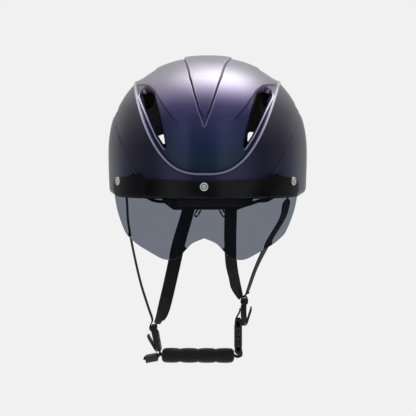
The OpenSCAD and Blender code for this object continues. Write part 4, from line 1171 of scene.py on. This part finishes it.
def make_pads():
    """Comfort pads inside the helmet; a node of two pads has a left and a right one."""
    for node in ("brow_pad", "side_pads", "crown_pads", "nape_pad"):
        pads = island_meshes(node)
        tags = ("_left_cloth", "_right_cloth") if len(pads) == 2 else ("_cloth",)
        for tag, bm in zip(tags, pads):
            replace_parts(make_pad(node.removesuffix("s") + tag, bm, BODY_OF[node]), node)


# Rivets
TURNS = 48


def lathe(name, profile, centre, out, material, ring):
    """A profile [radius, height] turned about a level axis: a closed ring, or a dome with two ends."""
    rise = np.array([0, 0, 1.0])
    side = np.cross(out, rise)
    n = len(profile)
    verts = []
    for a in 2 * math.pi * np.arange(TURNS) / TURNS:
        spoke = side * math.cos(a) + rise * math.sin(a)
        verts += [(centre + spoke * r + out * h) * MM for r, h in profile]
    faces = []
    for i in range(TURNS):
        near, far = i * n, (i + 1) % TURNS * n
        for j in range(n if ring else n - 1):
            k = (j + 1) % n
            faces.append([near + j, near + k, far + k, far + j])
    if not ring:
        faces += [list(range(0, TURNS * n, n)), list(range(n - 1, TURNS * n, n))[::-1]]
    return face_outward(add(name, verts, faces, material))


def make_rivets():
    """Three rivets square to the visor's band, each with a flange, a recessed ring and a small dome; a black
    ring laid in the recess is painted shade.
    """
    half_w, half_l = 110.0, 146.5
    head = [(4.2, -2.4), (4.25, 0.0), (4.1, 0.5), (3.7, 0.8), (3.1, 0.95), (2.8, 0.85), (2.6, 0.3),
            (2.15, 0.3), (2.0, 0.85), (1.6, 1.2), (0.9, 1.45), (0.35, 1.5)]
    shade_ring = [(2.68, 0.32), (2.66, 0.48), (2.5, 0.56), (2.25, 0.56), (2.1, 0.48), (2.08, 0.32)]
    for tag, bm in zip(("left", "middle", "right"), island_meshes("visor_rivets")):
        co = np.array([v.co[:] for v in bm.verts]) / MM
        bm.free()
        middle = (co.min(axis=0) + co.max(axis=0)) / 2
        power = PLAN_FRONT - 1
        out = np.array([np.sign(middle[0]) * abs(middle[0] / half_w) ** power / half_w,
                        -abs(middle[1] / half_l) ** power / half_l, 0])
        out /= np.linalg.norm(out)
        away = (co - middle) @ out
        radius = np.linalg.norm(co - middle - np.outer(away, out), axis=1)
        centre = middle + out * away[radius > radius.max() - 0.05].max()
        dome = lathe("rivet_" + tag, head, centre, out, RIVET, ring=False)
        place(dome, "visor", SLOT_OF["visor_rivets"], "visor_rivets")
        # black ring in the head's recess: painted shade
        painted_shade = lathe("rivet_painted_shade_ring_" + tag, shade_ring, centre, out, BAND, ring=True)
        place(painted_shade, "visor", SLOT_OF["visor_band"])


PAINT = shell_paint()
WEB = woven("webbing_black", (0.009, 0.009, 0.011))
LENS = smoke_lens()
BAND = plastic("brow_black", (0.002, 0.0022, 0.0032), 0.25, gloss=0.4)
PAD_CLOTH = mesh_cloth("pad_cloth", (0.03, 0.03, 0.033))
PAD_CLOTH_CHIN = mesh_cloth("chin_cloth", (0.0055, 0.0055, 0.0068))
FOAM = bead_foam("foam_black")
TRIM = plastic("trim_black", (0.008, 0.008, 0.009), 0.45)
CRADLE = plastic("cradle_black", (0.004, 0.0042, 0.0055), 0.45, gloss=0.35)
BUCKLE = plastic("buckle_black", (0.008, 0.008, 0.010), 0.4)
DIAL = plastic("dial_grey", (0.05, 0.05, 0.055), 0.5)
PINION = plastic("pinion_grey", (0.35, 0.35, 0.37), 0.4)
MAGNET = plastic("magnet_dark", (0.03, 0.03, 0.032), 0.35)
STEEL = plastic("pin_steel", (0.55, 0.55, 0.56), 0.28, metallic=1.0)
RIVET = plastic("rivet_metal", (0.80, 0.80, 0.82), 0.35, metallic=0.6)
RUBBER = plastic("keeper_rubber", (0.025, 0.025, 0.027), 0.5)

make_shell()
make_straps()
make_chin_webbing()
make_visor()
make_chin_pad()
make_pads()
make_cheeks()
make_yoke()
make_rivets()
for nodes, material, bevel in (
        (("eps_liner",), FOAM, 0.0),
        (("rim_trim", "strap_anchors_front", "strap_anchors_rear"), TRIM, 0.5),
        (("front_band", "headband_anchors", "cradle_stem", "dial_housing", "headband_left", "headband_right"),
         CRADLE, 0.35),
        (("dial_pinion",), PINION, 0.12), (("dial_knob",), DIAL, 0.3), (("shell_magnets",), MAGNET, 0.2),
        (("divider_left", "divider_right", "lever_left", "lever_right", "buckle_socket", "buckle_plug",
          "release_front", "release_rear"), BUCKLE, 0.3),
        (("lever_pin_left", "lever_pin_right"), STEEL, 0.12),
        (("tail_keeper",), RUBBER, 0.6)):
    for node in nodes:
        finished(node, material, bevel)


def soft_light(name, place_at, target, size, power):
    """Soft lamp that gloss doesn't mirror: the studio's own shades do that."""
    data = bpy.data.lights.new(name, "AREA")
    data.shape = "RECTANGLE"
    data.size, data.size_y = size
    data.energy = power
    lamp = new_object(name, data)
    lamp.location = place_at
    lamp.visible_glossy = False
    aim(lamp, target)


def make_world():
    """Pale studio: one flat pale grey to what looks straight at it, darker towards the camera to gloss."""
    world = bpy.data.worlds.new("studio")
    scene.world = world
    world.use_nodes = True
    world.node_tree.nodes.clear()
    w = Nodes(world)
    way = w.coord.outputs["Generated"]
    x, y, z = w.node("SeparateXYZ", (0, way)).outputs

    def shade(across, stops):
        """Grey by a coordinate of the way looked, which goes from -1 to 1."""
        half = w.plus(w.times(across, 0.5), 0.5)
        return w.ramp(half, [(0.5 + 0.5 * where, grey) for where, grey in stops])

    # pale ceiling that fades towards the camera's side
    light = w.times(shade(z, [(-1, 0.10), (0.05, 0.05), (0.3, 0.20), (0.55, 0.42), (0.85, 0.62), (1, 0.60)]),
                    shade(y, [(-1, 0.12), (-0.7, 0.14), (-0.3, 0.35), (0.0, 0.75), (0.4, 1.0)]))
    # the backdrop behind the object
    light = w.plus(light, shade(y, [(-1, 0.0), (0.9, 0.0), (0.99, 0.16)]))
    # a soft glow high behind it
    glow_way = w.node("VectorMath", (0, way), operation="DOT_PRODUCT")
    glow_way.inputs[1].default_value = (0.15, 0.35, 0.925)
    glow = shade(glow_way.outputs["Value"], [(-1, 0.0), (0.84, 0.0), (0.935, 0.27), (0.988, 1.0)])
    light = w.plus(light, w.times(glow, 2.4))
    # walls at its sides, up to middle height
    wings = shade(y, [(-1, 0.0), (-0.1, 0.02), (0.3, 0.08), (0.56, 0.19), (0.72, 0.30), (0.87, 0.29),
                      (1, 0.14)])
    low = shade(z, [(-1, 0.0), (-0.5, 0.4), (-0.2, 1.0), (0.1, 1.0), (0.3, 0.6), (0.5, 0.2), (0.7, 0.0)])
    light = w.plus(light, w.times(wings, low))
    # a dim room before it, with one dark stand in the middle
    room = shade(y, [(-1, 0.34), (-0.75, 0.28), (-0.45, 0.0)])
    stand = shade(w.math("ABSOLUTE", w.plus(x, 0.05)), [(-1, 0.0), (0.14, 0.0), (0.26, 1.0)])
    light = w.plus(light, w.times(room, stand))
    gloss = w.node("Background", ("Strength", light), Color=(1, 1, 1, 1))
    plain = w.node("Background", Color=(0.62, 0.62, 0.63, 1))
    flat = w.node("Background", Color=(0.88, 0.88, 0.88, 1))
    rays = w.node("LightPath").outputs
    straight = w.math("MAXIMUM", rays["Is Camera Ray"], rays["Is Transmission Ray"])
    unseen = w.node("MixShader", (0, rays["Is Glossy Ray"]), (1, plain.outputs[0]), (2, gloss.outputs[0]))
    seen = w.node("MixShader", (0, straight), (1, unseen.outputs[0]), (2, flat.outputs[0]))
    w.node("OutputWorld", (0, seen.outputs[0]))


def make_floor():
    """Pale floor under the object. Seen directly, its rim melts into the backdrop."""
    radius, level, sides = 0.62, -0.42, 96
    turns = 2 * math.pi * np.arange(sides) / sides
    ring = [(radius * math.cos(a), radius * math.sin(a), level) for a in turns]
    m = material_nodes("floor_paint")
    m.link(m.ramp(m.noise(3.0), [(0.3, 0.84), (0.7, 0.88)]), "Base Color")
    m.set(Roughness=0.9)
    flat = m.node("VectorMath", (0, m.coord.outputs["Object"]), operation="MULTIPLY")
    flat.inputs[1].default_value = (1, 1, 0)
    away = m.node("VectorMath", (0, flat.outputs[0]), operation="LENGTH").outputs["Value"]
    rim = m.ramp(away, [(0.22, 0), (0.55, 1)])
    straight = m.node("LightPath").outputs["Is Camera Ray"]
    shine = m.node("Emission", Color=(0.88, 0.88, 0.88, 1))
    mixed = m.node("MixShader", (0, m.times(rim, straight)), (1, m.shader.outputs[0]), (2, shine.outputs[0]))
    m.tree.links.new(mixed.outputs[0], m.tree.nodes["Material Output"].inputs["Surface"])
    add("floor", ring, [list(range(sides))], m.owner, sharp=None)


make_world()
make_floor()
soft_light("overhead", (0.1, 0.6, 1.3), (0, 0, 0.06), (0.9, 0.7), 4.0)
soft_light("front", (0.3, -1.4, 0.9), (0, 0, 0.0), (1.2, 0.8), 4.0)
